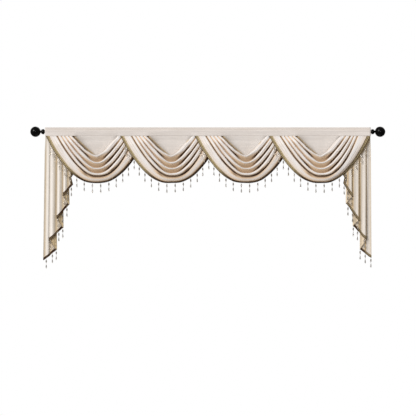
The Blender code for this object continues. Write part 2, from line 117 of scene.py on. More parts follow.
# The corners of a tail's folds, from the outer edge inwards: at the seam and at the hem.
Corner = namedtuple("Corner", "seam_x hem_x hem_z")
TAILS = {
    "left": table(
        Corner,
        (-1.248, -1.2611, -0.985), (-1.164, -1.1589, -0.907), (-1.21, -1.2173, -0.833),
        (-1.112, -1.107, -0.737), (-1.154, -1.1589, -0.666), (-1.07, -1.06, -0.56),
        (-1.106, -1.109, -0.491), (-1.038, -1.0325, -0.41),
    ),
    "right": table(
        Corner,
        (1.248, 1.2534, -0.966), (1.169, 1.1674, -0.904), (1.2185, 1.2193, -0.829),
        (1.115, 1.1113, -0.724), (1.164, 1.159, -0.682), (1.064, 1.0575, -0.552),
        (1.108, 1.1075, -0.498), (1.044, 1.034, -0.398),
    ),
}
# The tails' cloth and the place of its back layer, the pitch from layer to layer, the cloth's full
# length, its ripple, how level its hem is at each fold, and the width of its braid.
TAIL_CLOTH = 0.0008
TAIL_BACK = -0.0019
TAIL_SEAM_PITCH = 0.0018
TAIL_HEM_PITCH = 0.0105
TAIL_LENGTH = 0.945
TAIL_WAVE = 0.0035
TAIL_WAVE_LENGTH = 0.046
TURN_LEVEL = 0.03
TAIL_BRAID = {"left": 0.0140, "right": 0.0155}

# The bead strands: their spacing along a swag's hem, and how far out they still hang at its left.
STRAND_SPACING = 0.0634
STRAND_SHIFT = -0.004
LEFT_HANGS = 0.97
MOST_STRANDS = 12
# The places of a tail's bead strands along the hem of each front layer.
TAIL_STRANDS = {
    "left": {0: (0.21, 0.66, 0.95), 2: (0.1, 0.68, 0.95), 4: (0.12, 0.45, 0.8), 6: (0.12, 0.48, 0.84)},
    "right": {0: (0.05, 0.52, 0.97), 2: (0.18, 0.66, 0.96), 4: (0.1, 0.5, 0.84), 6: (0.12, 0.5, 0.86)},
}
# The roots of the strands, from the hem: in front of and above it.
TAIL_ROOT = np.array([0.0, -0.0006, 0.002])
SWAG_ROOT_OUT = 0.0012
SWAG_ROOT_UP = 0.001
# The heading's front wall stands forward over the fans and tails and comes back in each gap: the
# reach of a gap on both sides of a swag's middle, the widths of the changes, and the walls' places.
GAP_LEFT = 0.19
GAP_RIGHT = 0.176
WALL_SLOPE = 0.024
TAIL_SLOPE = 0.04
WALL_AT_GAP = 0.012
WALL_AT_FANS = 0.0146
WALL_AT_TAILS = 0.0186
BACK_WALL = -0.006
TAIL_ZONE = 1.03

# ---- small helpers


def smooth(value):
    """0 below 0, 1 above 1, and an easy curve between."""
    value = np.clip(value, 0.0, 1.0)
    return value * value * (3.0 - 2.0 * value)


def eased(value, start, reach):
    return smooth((value - start) / reach)


def mix(start, end, share):
    return start + (end - start) * share


def spline(rows, per_span):
    """A smooth run through rows of points, whose last axis starts with x, y and z."""
    padded = np.concatenate([2.0 * rows[:1] - rows[1:2], rows, 2.0 * rows[-1:] - rows[-2:-1]])
    gaps = np.sqrt(np.linalg.norm(np.diff(padded[..., :3], axis=0), axis=-1) + 1e-6)[..., None]
    found = []
    for at in range(len(rows) - 1):
        before, start, end, after = padded[at:at + 4]
        gap_1, gap_2, gap_3 = gaps[at:at + 3]
        leave = end - start + gap_2 * ((start - before) / gap_1 - (end - before) / (gap_1 + gap_2))
        arrive = end - start + gap_2 * ((after - end) / gap_3 - (after - start) / (gap_2 + gap_3))
        for step in range(per_span):
            s = step / per_span
            found.append(
                start * (2.0 * s ** 3 - 3.0 * s ** 2 + 1.0) + leave * (s ** 3 - 2.0 * s ** 2 + s)
                + end * (3.0 * s ** 2 - 2.0 * s ** 3) + arrive * (s ** 3 - s ** 2)
            )
    return np.array(found + [rows[-1]])


def unit(vectors):
    return vectors / np.maximum(np.linalg.norm(vectors, axis=-1, keepdims=True), 1e-9)


def normals_of(grid):
    """The unit normal at each point of a grid whose rows run down and columns run to +X."""
    return unit(np.cross(np.gradient(grid, axis=0), np.gradient(grid, axis=1)))


def grid_faces(rows, columns):
    """Quads over a grid, facing forward where the columns run to +X."""
    index = np.arange(rows * columns).reshape(rows, columns)
    quads = np.stack([index[:-1, :-1], index[1:, :-1], index[1:, 1:], index[:-1, 1:]], axis=-1)
    return quads.reshape(-1, 4)


def ring_faces(count, sides, turned=False):
    """Quads round a stack of rings and a cap at each end. They face out where the rings turn
    right-handed about the way along the stack, and are turned over where they turn the other way."""
    index = np.arange(count * sides).reshape(count, sides)
    after = np.roll(index, -1, axis=1)
    quads = np.stack([index[:-1], after[:-1], after[1:], index[1:]], axis=-1).reshape(-1, 4)
    if turned:
        return quads[:, [0, 3, 2, 1]].tolist() + [index[0].tolist(), index[-1, ::-1].tolist()]
    return quads.tolist() + [index[0, ::-1].tolist(), index[-1].tolist()]


def arc_lengths(grid, axis):
    """The length from the start to each point, along one axis of a grid or along a line."""
    steps = np.linalg.norm(np.diff(grid, axis=axis), axis=-1)
    zero = np.zeros_like(np.take(steps, [0], axis=axis))
    return np.concatenate([zero, np.cumsum(steps, axis=axis)], axis=axis)


class Soup:
    """Points and faces gathered for one mesh, with a material number for each face."""

    def __init__(self):
        self.points = []
        self.shades = []
        self.faces = []
        self.materials = []
        self.count = 0

    def add(self, points, faces, material=0, shade=0.0):
        self.points.append(np.asarray(points, float).reshape(-1, 3))
        self.shades.append(np.ravel(shade + np.zeros(np.shape(points)[:-1])))
        self.faces += [tuple(int(at) + self.count for at in face) for face in faces]
        self.materials += [material] * len(faces)
        self.count += len(self.points[-1])

    def make(self, name, node, materials, flat=False):
        """The mesh as a piece of the valance. Its points' shade darkens the cords."""
        mesh = bpy.data.meshes.new(name)
        mesh.from_pydata(np.concatenate(self.points).tolist(), [], self.faces)
        for material in materials:
            mesh.materials.append(material)
        mesh.polygons.foreach_set("material_index", self.materials)
        set_point_values(mesh, "shade", np.concatenate(self.shades))
        (mesh.shade_flat if flat else mesh.shade_smooth)()
        return add_piece(name, mesh, node)


def add_object(name, data):
    thing = bpy.data.objects.new(name, data)
    bpy.context.scene.collection.objects.link(thing)
    return thing


def add_piece(name, mesh, node):
    """A visible piece of the valance, in place of the node of the solids that it dresses."""
    mesh.validate()
    piece = add_object(name, mesh)
    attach(piece, BODY)
    if node:
        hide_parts(node)
    return piece


def set_point_values(mesh, name, values):
    attribute = mesh.attributes.new(name, "FLOAT", "POINT")
    attribute.data.foreach_set("value", np.asarray(values, np.float32).ravel())


def add_cloth(name, node, grid, crease, thickness, face, reverse):
    """A sheet of cloth whose face is the grid. Its UV map is in metres along the threads."""
    rows, columns = grid.shape[:2]
    mesh = bpy.data.meshes.new(name)
    mesh.from_pydata(grid.reshape(-1, 3).tolist(), [], grid_faces(rows, columns).tolist())
    mesh.materials.append(face)
    mesh.materials.append(reverse)
    across = arc_lengths(grid, 1)
    across -= across[:, columns // 2][:, None]
    threads = np.stack([across, -arc_lengths(grid, 0)], axis=-1).reshape(-1, 2)
    loops = np.empty(len(mesh.loops), np.int32)
    mesh.loops.foreach_get("vertex_index", loops)
    mesh.uv_layers.new(name="cloth").data.foreach_set("uv", threads[loops].ravel())
    # The points' painted shade, which darkens the cloth's colour.
    set_point_values(mesh, "crease", crease)
    mesh.shade_smooth()
    piece = add_piece(name, mesh, node)
    shell = piece.modifiers.new("thickness", "SOLIDIFY")
    shell.thickness = thickness
    shell.offset = -1.0
    shell.material_offset = 1
    return piece


# ---- materials


class Nodes:
    """Adds nodes to one tree and joins them."""

    def __init__(self, tree):
        self.tree = tree

    def add(self, kind, inputs=(), **settings):
        node = self.tree.nodes.new(kind)
        for setting, value in settings.items():
            setattr(node, setting, value)
        self.join(node, dict(inputs))
        return node

    def join(self, node, inputs):
        for socket, value in inputs.items():
            if isinstance(value, bpy.types.NodeSocket):
                self.tree.links.new(value, node.inputs[socket])
            else:
                node.inputs[socket].default_value = value

    def shade(self, **inputs):
        named = {name.replace("_", " "): value for name, value in inputs.items()}
        self.join(self.tree.nodes["Principled BSDF"], named)

    def place(self):
        return self.add("ShaderNodeTexCoord").outputs["Object"]

    def attribute(self, name):
        return self.add(
            "ShaderNodeAttribute", attribute_type="GEOMETRY", attribute_name=name
        ).outputs["Fac"]

    def noise(self, vector, scale, detail=2.0):
        """Noise at one scale, or stretched where the scale has three numbers."""
        if isinstance(scale, tuple):
            vector = self.add("ShaderNodeMapping", {"Vector": vector, "Scale": scale}).outputs[0]
            scale = 1.0
        return self.add(
            "ShaderNodeTexNoise", {"Vector": vector, "Scale": scale, "Detail": detail}
        ).outputs["Fac"]

    def wave(self, vector, pitch, direction, distortion):
        """Bands that repeat at a pitch in metres."""
        return self.add(
            "ShaderNodeTexWave", {"Vector": vector, "Scale": WAVE_BAND / pitch,
                                  "Distortion": distortion, "Detail Scale": 0.1},
            wave_type="BANDS", bands_direction=direction,
        ).outputs["Fac"]

    def ramp(self, factor, stops):
        node = self.add("ShaderNodeValToRGB", {"Fac": factor})
        elements = node.color_ramp.elements
        while len(elements) < len(stops):
            elements.new(0.5)
        for element, (position, colour) in zip(elements, stops):
            element.position = position
            element.color = (*colour, 1.0)
        return node.outputs["Color"]

    def greys(self, factor, low, dark, high, light):
        return self.ramp(factor, [(low, (dark,) * 3), (high, (light,) * 3)])

    def blend(self, factor, first, second, kind="MIX"):
        """Two colours mixed. The sockets 6 and 7 are the two colours and the output 2 the result."""
        return self.add(
            "ShaderNodeMix", {0: factor, 6: first, 7: second}, data_type="RGBA", blend_type=kind
        ).outputs[2]

    def math(self, kind, first, second):
        return self.add("ShaderNodeMath", {0: first, 1: second}, operation=kind).outputs[0]

    def bump(self, height, distance, strength=1.0, below=None):
        inputs = {"Height": height, "Distance": distance, "Strength": strength}
        if below is not None:
            inputs["Normal"] = below
        return self.add("ShaderNodeBump", inputs).outputs["Normal"]


def new_material(name):
    material = bpy.data.materials.new(name)
    material.use_nodes = True
    return material, Nodes(material.node_tree)


# The length of one band of a wave texture at scale 1.
WAVE_BAND = 0.31416
WHITE = (1.0, 1.0, 1.0)
FADED = (0.965, 0.955, 0.94)
CREAM = (0.75, 0.725, 0.722)
# The satin's painted shade: tan on the way into the creases and brown deep in them.
CREASE_SHADE_TAN = (0.68, 0.50, 0.335)
CREASE_SHADE_BROWN = (0.068, 0.024, 0.007)
# The satin's reverse, and its painted shade deep in the creases.
REVERSE = (0.56, 0.435, 0.265)
REVERSE_CREASE_SHADE = (0.34, 0.24, 0.13)
# The heading's greige, and its painted shade at the line of stitches and in the seam.
GREIGE = (0.722, 0.668, 0.637)
GREIGE_SHADE_TAN = (0.54, 0.40, 0.245)
# The panel: the heading's greige painted a little lighter, against the shade it hangs in. Its painted
# shade is grey low down and in a line beside each right fan, and gold where each left fan casts its
# shadow.
PANEL = (0.768, 0.717, 0.686)
PANEL_SHADE_GREY = (0.56, 0.515, 0.48)
PANEL_SHADE_GOLD = (0.50, 0.36, 0.195)
# The tails are lit from one side, so each has its own copy of the tints, with its side's light and
# shade painted in: three of the face, its base and two of painted shade in the creases, one of the
# reverse, and how mottled the reverse is.
TailTints = namedtuple("TailTints", "cream grey gold reverse mottle")
TAIL_TINTS = {
    "left": TailTints(
        (0.78, 0.733, 0.69), (0.62, 0.555, 0.475), (0.50, 0.385, 0.24), (0.62, 0.48, 0.29), 0.38
    ),
    "right": TailTints(
        (0.70, 0.645, 0.59), (0.60, 0.54, 0.472), (0.52, 0.375, 0.20), (0.72, 0.595, 0.44), 0.16
    ),
}
# How rough a cloth is, how dark its slubs, the pitch of its threads in metres, and its sheen.
Weave = namedtuple("Weave", "roughness slub thread sheen")
SATIN = Weave(0.42, 0.035, 0.0008, 0.25)
SATIN_BACK = Weave(0.55, 0.05, 0.0008, 0.15)
SLUB_WEAVE = Weave(0.72, 0.09, 0.0011, 0.15)
# Where a cloth's last tint but one lies on the way into the painted shade of the creases.
CREASE_TINT = 0.62
# The painted shade that a cord's colour turns to where its points' shade says so.
SHADED_CORD = (0.045, 0.015, 0.005, 1.0)


def cloth_material(name, weave, colours, mottle=0.0, streak=0.0):
    """Woven cloth. Its colours run from the ridges to painted shade deep in the creases."""
    material, nodes = new_material(name)
    threads = nodes.add("ShaderNodeUVMap", uv_map="cloth").outputs["UV"]
    places = [*np.linspace(0.0, CREASE_TINT, len(colours) - 1), 1.0]
    colour = nodes.ramp(nodes.attribute("crease"), list(zip(places, colours)))
    slubs = nodes.noise(threads, (9.0, 420.0, 1.0), 3.0)
    warps = nodes.noise(threads, (600.0, 12.0, 1.0))
    marks = [
        nodes.greys(slubs, 0.30, 1.0 - weave.slub, 0.70, 1.0),
        nodes.ramp(nodes.noise(threads, 7.0), [(0.3, FADED), (0.7, WHITE)]),
    ]
    if streak:
        bars = nodes.noise(threads, (3.5, 85.0, 1.0))
        marks.append(nodes.greys(bars, 0.34, 1.0 - streak, 0.66, 1.0))
    if mottle:
        spots = nodes.noise(threads, 75.0, 1.0)
        marks.append(nodes.greys(spots, 0.38, 1.0 - mottle, 0.62, 1.0))
    for mark in marks:
        colour = nodes.blend(1.0, colour, mark, "MULTIPLY")
    warp = nodes.wave(threads, weave.thread, "X", 0.3)
    weft = nodes.wave(threads, 1.3 * weave.thread, "Y", 0.3)
    normal = nodes.bump(nodes.math("MULTIPLY", warp, weft), 0.00008)
    nodes.shade(
        Base_Color=colour,
        Roughness=nodes.greys(slubs, 0.25, weave.roughness - 0.06, 0.75, weave.roughness + 0.07),
        Normal=nodes.bump(nodes.math("ADD", slubs, warps), 0.00022, 0.8, normal),
        Sheen_Weight=weave.sheen, Sheen_Roughness=0.35, Specular_IOR_Level=0.35,
    )
    return material


def cord_material(name, dark, light, pitch, roughness):
    """Twisted thread, with painted shade where the points' shade says so."""
    material, nodes = new_material(name)
    place = nodes.place()
    speckle = nodes.noise(place, 420.0)
    strands = nodes.math("MULTIPLY", nodes.wave(place, pitch, "DIAGONAL", 1.5), speckle)
    colour = nodes.ramp(strands, [(0.08, dark), (0.48, light)])
    nodes.shade(
        Base_Color=nodes.blend(nodes.attribute("shade"), colour, SHADED_CORD),
        Roughness=nodes.greys(speckle, 0.3, roughness - 0.1, 0.7, roughness + 0.12),
        Specular_IOR_Level=0.12, Normal=nodes.bump(strands, 0.0005, 0.9),
    )
    return material


def crystal_material(name, colour, weight, dull=0.14, gloss=0.6):
    """Faceted glass with a faint cloud in it."""
    material, nodes = new_material(name)
    cloud = nodes.noise(nodes.place(), 260.0)
    cloudy = tuple(0.82 * part for part in colour)
    nodes.shade(
        Base_Color=nodes.ramp(cloud, [(0.35, cloudy), (0.65, colour)]),
        Roughness=nodes.greys(cloud, 0.3, dull, 0.7, dull + 0.1),
        Transmission_Weight=weight, IOR=1.52, Specular_IOR_Level=gloss,
    )
    return material


def pole_material():
    material, nodes = new_material("gloss_black_paint")
    place = nodes.place()
    dust = nodes.noise(place, (18.0, 60.0, 60.0), 4.0)
    black = [(0.35, (0.0006, 0.0006, 0.0007)), (0.75, (0.0018, 0.0018, 0.0020))]
    nodes.shade(
        Base_Color=nodes.ramp(dust, black), Roughness=nodes.greys(dust, 0.3, 0.14, 0.8, 0.27),
        Coat_Weight=0.05, Coat_Roughness=0.06, Specular_IOR_Level=0.08,
        Normal=nodes.bump(nodes.noise(place, 190.0), 0.00006, 0.7),
    )
    return material


def floor_material():
    material, nodes = new_material("pale_floor")
    tone = nodes.noise(nodes.place(), 1.4, 3.0)
    pale = [(0.3, (0.80, 0.80, 0.80)), (0.7, (0.86, 0.86, 0.855))]
    nodes.shade(Base_Color=nodes.ramp(tone, pale), Roughness=0.8)
    return material


# ---- swags

# The cross-section of each roll, in the middle of a swag and out on its sloping sides: the share
# of the way from one fold line to the next, the share of the roll's height, and how deep in painted
# shade the cloth lies there, 0 on a ridge and 1 at the bottom of the creases.
Section = namedtuple(
    "Section", "middle_step middle_proud middle_crease side_step side_proud side_crease"
)
TOP_ROLL = table(
    Section,
    (0.3, -0.55, 0.8, 0.3, -0.45, 1.0), (0.14, -0.42, 0.7, 0.14, -0.4, 1.0),
    (0.02, -0.05, 0.4, 0.0, -0.2, 1.0), (0.0, 0.3, 0.3, 0.08, 0.02, 1.0),
    (0.05, 0.75, 0.0, 0.19, 0.44, 1.0), (0.12, 0.96, 0.0, 0.3, 0.92, 0.12),
    (0.24, 0.9, 0.3, 0.5, 1.03, 0.0), (0.5, 0.55, 0.66, 0.72, 0.9, 0.2),
    (0.82, 0.26, 0.74, 0.87, 0.48, 0.92), (1.0, 0.12, 0.76, 0.94, 0.15, 1.0),
)
MIDDLE_ROLL = table(
    Section,
    (0.15, 0.04, 0.74, 0.0, 0.0, 1.0), (0.17, 0.32, 0.6, 0.03, 0.36, 1.0),
    (0.21, 0.68, 0.34, 0.11, 0.8, 0.3), (0.28, 0.95, 0.02, 0.24, 0.99, 0.0),
    (0.36, 1.0, 0.0, 0.4, 1.03, 0.0), (0.48, 0.8, 0.5, 0.57, 0.98, 0.1),
    (0.74, 0.44, 0.7, 0.74, 0.82, 0.6), (1.0, 0.16, 0.76, 0.85, 0.44, 1.0),
)
LOWEST_ROLL = table(
    Section,
    (0.12, 0.04, 0.74, 0.0, 0.0, 1.0), (0.14, 0.36, 0.6, 0.03, 0.36, 1.0),
    (0.19, 0.7, 0.34, 0.11, 0.8, 0.3), (0.28, 0.95, 0.02, 0.24, 0.99, 0.0),
    (0.42, 1.04, 0.0, 0.4, 1.03, 0.0), (0.56, 0.96, 0.3, 0.57, 0.98, 0.1),
    (0.68, 0.76, 0.76, 0.74, 0.82, 0.6), (0.78, 0.4, 0.96, 0.85, 0.44, 1.0),
    (0.84, 0.04, 0.96, 0.94, 0.1, 1.0),
)
HEM_BAND = table(
    Section,
    (-0.16, 0.0, 0.96, 0.0, 0.0, 1.0), (-0.08, 0.42, 0.96, 0.03, 0.46, 1.0),
    (0.07, 0.8, 0.86, 0.09, 0.9, 0.2), (0.26, 1.0, 0.56, 0.18, 0.99, 0.0),
    (0.42, 1.02, 0.24, 0.3, 0.92, 0.04), (0.56, 0.9, 0.18, 0.42, 0.93, 0.1),
    (0.7, 0.66, 0.48, 0.54, 0.86, 0.18), (0.83, 0.3, 0.84, 0.66, 0.8, 0.28),
)
BRAID_BAND = table(
    Section,
    (0.875, 0.02, 0.94, 0.755, 0.72, 0.2), (0.925, -0.36, 0.94, 0.825, 0.66, 0.2),
    (0.965, -0.76, 0.94, 0.895, 0.58, 0.2), (0.99, -1.2, 0.94, 0.96, 0.46, 0.2),
    (0.995, -1.64, 0.94, 1.025, 0.3, 0.2),
)
BANDS = (TOP_ROLL, MIDDLE_ROLL, MIDDLE_ROLL, LOWEST_ROLL, HEM_BAND + BRAID_BAND)
LAST_BAND = len(BANDS) - 1
SWAG_COLUMNS = 97
ROWS_PER_SPAN = 3
BRAID_SPANS = len(BRAID_BAND) - 1

# How strong the painted shade in the creases is at each fold line: near the heading, where the pleats
# are pressed flat, and on the flanks, first on the left and then on the right. Then where those four
# places are along a swag, from -1 at its left end to 1 at its right.
CreaseShade = namedtuple("CreaseShade", "left_heading left_flank right_flank right_heading")
CREASE_SHADES = table(
    CreaseShade,
    (1.0, 1.0, 0.06, 0.06), (0.62, 1.0, 1.0, 0.66), (0.56, 0.46, 1.0, 0.88),
    (0.58, 0.96, 1.0, 0.66), (0.92, 1.0, 1.0, 0.78), (0.72, 0.86, 1.0, 0.9),
)
SHADE_PLACES = (-0.68, -0.46, 0.50, 0.88)
# Where along a swag the painted shade in the creases is darkest, how much darker it is there, and
# the shade from which that shows, with its range.
DEEP_PLACES = (-0.64, -0.42, -0.24, 0.18, 0.42, 0.64, 0.80)
DEEP_SHADES = (0.0, 0.18, 0.0, 0.0, 0.18, 0.18, 0.0)
DEEP_FROM = (0.40, 0.35)
# Two wide patches of painted shade in each swag: the band and steps, the place along the swag, and the
# shade.
ShadePatch = namedtuple("ShadePatch", "band start end across width shade")
SHADE_PATCHES = (
    ShadePatch(4, -0.20, 0.34, -0.27, 0.17, 0.82),
    ShadePatch(3, 0.46, 1.00, 0.42, 0.13, 0.88),
)
SHADE_PATCH_EDGE = 0.2
# The hem of a right side that another swag laps over is turned under, as the middle is. The last
# swag's, which lies over a tail, curls back a little instead.
HEM_OPENING = 0.25
TURNED_UNDER = 0.45
CURL_DOWN = (0.35, 0.65)
CURL_ACROSS = (0.04, 0.30)
# The painted shade above the braid: where the hem is turned under, and on the last swag's right side.
RIM_SHADE = 0.95
RIM_DOWN = (0.56, 0.24)
RIM_ACROSS = (-0.12, 0.20)
OPEN_RIM_SHADE = 0.7
OPEN_RIM = 0.705
OPEN_RIM_WIDTH = 0.045
OPEN_RIM_REACH = 0.25
# The painted shade of a swag's braid where it turns under, and where it shows again on the last swag.
UNDER_SHADE = 0.9
UNDER_ACROSS = (-0.60, 0.28)
SHOWN_ACROSS = (0.22, 0.18)
# How far in front of the panel the back of the top roll stays, where the roll is this deep.
ROLL_CLEARANCE = 0.0004
ROLL_DEPTH = 0.0018

# Small creases laid in one by one: the band and the step that they follow, where along the swag
# they start and end, how deep they are and how wide, in steps. Then how gently they start and end,
# how dark they are, and the depth that is fully dark.
# Their darkness is painted shade, from how deep they are.
Groove = namedtuple("Groove", "row start end depth width")
GROOVES = table(
    Groove,
    (4.3, -1.02, -0.66, 0.0034, 0.035), (4.52, -1.02, -0.58, 0.003, 0.035),
    (4.46, 0.62, 1.02, 0.0024, 0.04), (0.48, -1.02, -0.5, 0.003, 0.06),
    (1.55, -0.92, -0.4, 0.0026, 0.06), (2.5, -0.98, -0.45, 0.0028, 0.06),
    (3.52, -0.9, -0.35, 0.0026, 0.06), (0.52, 0.42, 0.98, 0.003, 0.06),
    (1.5, 0.46, 0.98, 0.0028, 0.06), (2.48, 0.4, 0.98, 0.0028, 0.06),
    (3.5, 0.48, 0.98, 0.0024, 0.06),
)
GROOVE_STARTS = 0.1
GROOVE_ENDS = 0.16
GROOVE_DARK = 0.5
GROOVE_SHADE = 0.005
# Slight waves of the cloth: their height, and how fast they run along, down and from swag to swag.
Wrinkle = namedtuple("Wrinkle", "height across down swag")
WRINKLES = (Wrinkle(0.0007, 9.0, 2.6, 1.7), Wrinkle(0.0005, 23.0, -4.1, 2.9))
WRINKLE_OPENING = 0.2

# The panel comes forward in each gap between two fans, to meet the heading's front wall: how far
# at the seam and below it, the depth in which it falls back, and the gap's ends beside a swag's
# middle, with the widths of the changes.
PANEL_MEETS = 0.004
PANEL_AT_SEAM = 0.0108
PANEL_FALLS = 0.04
PANEL_FALLS_RIGHT = 0.012
GAP_FROM = (-0.188, 0.022)
GAP_TO = 0.17
GAP_TO_SLOPE = 0.024
FALLS_CHANGE = (0.115, 0.035)


def rise(across, rounding):
    """0 in the middle of a swag and 1 at its ends, rounded at the bottom."""
    rounded = np.hypot(across, rounding) - rounding
    return rounded / (math.hypot(1.0, rounding) - rounding)


def line_place(line, across):
    """Where a fold line passes at each "across", -1 at the left end and 1 at the right."""
    power = np.where(across < 0.0, line.left_power, line.right_power)
    reach = np.where(across < 0.0, line.left, line.right)
    height = -line.drop * (1.0 - rise(np.abs(across), line.round) ** power)
    return np.stack([reach * across, height], axis=-1)


def opened(across, opening):
    """0 at the ends of a swag, where its pleats are closed, and 1 from the opening on."""
    return smooth((1.0 - np.abs(across)) / opening)


def swag_forward(swag, across, x):
    """How far forward a swag hangs. Its right fan stands out where no other swag laps over it."""
    lifted = opened(across, LIFT_OPENING)
    left = mix(swag.left_seam, swag.left_full, lifted)
    shown = (BARE_FAN - swag.right_seam) * smooth((BARE_REACH - x) / BARE_SLOPE)
    right = mix(swag.right_seam + np.maximum(shown, 0.0), swag.right_full, lifted)
    return mix(left, right, smooth((across + CROSSING) / (2.0 * CROSSING)))


def gap_forward(x, below):
    """How far forward the panel hangs at a place beside a swag's middle and below the seam."""
    from_left = eased(x, *GAP_FROM)
    from_right = smooth((GAP_TO - x) / GAP_TO_SLOPE)
    falls = mix(PANEL_FALLS, PANEL_FALLS_RIGHT, eased(x, *FALLS_CHANGE))
    meets = mix(PANEL_AT_SEAM, PANEL_MEETS, smooth(below / falls))
    return PANEL_FORWARD + (meets - PANEL_FORWARD) * from_left * from_right


def row_shade(band, section, across, share, step, free):
    """How deep in painted shade one control row of a swag lies."""
    lines = range(len(CREASE_SHADES))
    strengths = [np.interp(band + section.side_step, lines, strength)
                 for strength in zip(*CREASE_SHADES)]
    shade = section.side_crease * np.interp(across, SHADE_PLACES, strengths)
    shade = mix(shade, section.middle_crease, share)
    deeper = eased(shade, *DEEP_FROM)
    shade = shade + np.interp(across, DEEP_PLACES, DEEP_SHADES) * deeper
    for shade_patch in SHADE_PATCHES:
        if shade_patch.band == band:
            inside = smooth((step - shade_patch.start) / SHADE_PATCH_EDGE + 0.5)
            inside = inside * smooth((shade_patch.end - step) / SHADE_PATCH_EDGE + 0.5)
            inside = inside * np.exp(-((across - shade_patch.across) / shade_patch.width) ** 2)
            shade = np.maximum(shade, shade_patch.shade * inside)
    if band < LAST_BAND:
        return shade
    if free:
        return np.maximum(shade, RIM_SHADE * eased(step, *RIM_DOWN) * eased(across, *RIM_ACROSS))
    rim = OPEN_RIM_SHADE * np.exp(-((step - OPEN_RIM) / OPEN_RIM_WIDTH) ** 2)
    return np.maximum(shade, rim * smooth(across / OPEN_RIM_REACH))


def swag_row(swag, number, band, section, across):
    """One control row of a swag: x, y, z, then its place down the swag and its shade."""
    upper, lower = FOLD_LINES[band:band + 2]
    free = number < len(SWAGS)
    share = 1.0 - eased(np.abs(across), *MIDDLE)
    if band == LAST_BAND and free:
        turned = mix(share, 1.0, TURNED_UNDER * opened(across, HEM_OPENING))
        share = np.where(across > 0.0, turned, share)
    step = mix(section.side_step, section.middle_step, share)
    proud = mix(section.side_proud, section.middle_proud, share)
    if band == LAST_BAND and not free:
        curl = eased(step, *CURL_DOWN) * eased(across, *CURL_ACROSS)
        proud = proud - curl * opened(across, HEM_OPENING)
    full = HEM_BAND_HEIGHT if band == LAST_BAND else ROLL_HEIGHT
    opening = np.where(across < 0.0, LEFT_OPENING, swag.right_opening)
    height = mix(SEAM_ROLL_HEIGHT, full, opened(across, opening))
    belly = np.maximum(1.0 - across * across, 0.0) ** BELLY_POWER
    place = mix(line_place(upper, across), line_place(lower, across), step[:, None])
    place[:, 0] *= np.where(across > 0.0, swag.right_reach, 1.0)
    base = swag_forward(swag, across, place[:, 0]) + mix(upper.out, lower.out, step) * belly
    forward = base + proud * height
    if band == 0 and section.side_proud < 0.0:
        kept = gap_forward(place[:, 0], -place[:, 1]) + ROLL_CLEARANCE
        forward = np.maximum(forward, np.minimum(kept, base - ROLL_DEPTH))
    shade = row_shade(band, section, across, share, step, free)
    return np.stack([place[:, 0], -forward, place[:, 1], band + step, shade], axis=-1)


def groove_depth(row, across):
    """How deep the small creases are at each point."""
    depth = np.zeros_like(row)
    for groove in GROOVES:
        inside = smooth((across - groove.start) / GROOVE_STARTS)
        inside = inside * smooth((groove.end - across) / GROOVE_ENDS)
        depth += groove.depth * inside * np.exp(-((row - groove.row) / groove.width) ** 2)
    return depth


def swag_surface(swag, number):
    """The face of a swag's cloth: its points and how deep in painted shade each one is."""
    across = np.linspace(-1.0, 1.0, SWAG_COLUMNS)
    rows = np.array([
        swag_row(swag, number, band, section, across)
        for band, roll in enumerate(BANDS) for section in roll
    ])
    fine = spline(rows, ROWS_PER_SPAN)
    grid, row, crease = fine[..., :3].copy(), fine[..., 3], np.clip(fine[..., 4], 0.0, 1.0)
    wrinkle = sum(wave.height * np.sin(wave.across * across + wave.down * row + wave.swag * number)
                  for wave in WRINKLES)
    grooves = groove_depth(row, across)
    crease = np.maximum(crease, GROOVE_DARK * smooth(grooves / GROOVE_SHADE))
    lift = (wrinkle - grooves) * opened(across, WRINKLE_OPENING)
    lift[:2] = 0.0
    grid += normals_of(grid) * lift[..., None]
    grid += np.array([swag.middle, 0.0, SEAM_Z])
    tucked = np.array([0.0, 0.0, TUCK])
    grid = np.concatenate([grid[:, :1] + tucked, grid, grid[:, -1:] + tucked], axis=1)
    return grid, np.pad(crease, ((0, 0), (1, 1)), mode="edge")


def braid_shades(number):
    """How deep in shade a swag's braid and the braid's upper rim lie: the braid turns under from
    the middle on to the right, and shows again on the last swag, over the tail."""
    across = np.linspace(-1.0, 1.0, SWAG_COLUMNS)
    rim = UNDER_SHADE * eased(across, *UNDER_ACROSS)
    if number < len(SWAGS):
        return rim, rim
    return mix(rim, 0.0, eased(across, *SHOWN_ACROSS)), rim


def swag_strand_places(swag):
    """Evenly spaced places along a swag's hem: a count of grid columns, and whether it is at the
    left."""
    fine = np.linspace(-1.0, 1.0, 801)
    lengths = arc_lengths(line_place(FOLD_LINES[-1], fine), 0)
    lengths -= np.interp(0.0, fine, lengths)
    found = []
    for count in range(-MOST_STRANDS, MOST_STRANDS):
        along = (count + 0.5) * STRAND_SPACING + STRAND_SHIFT
        across = float(np.interp(along, lengths, fine))
        if lengths[0] < along < lengths[-1] and -LEFT_HANGS < across < swag.right_hangs:
            found.append((1.0 + (across + 1.0) * 0.5 * (SWAG_COLUMNS - 1), across < 0.0))
    return found
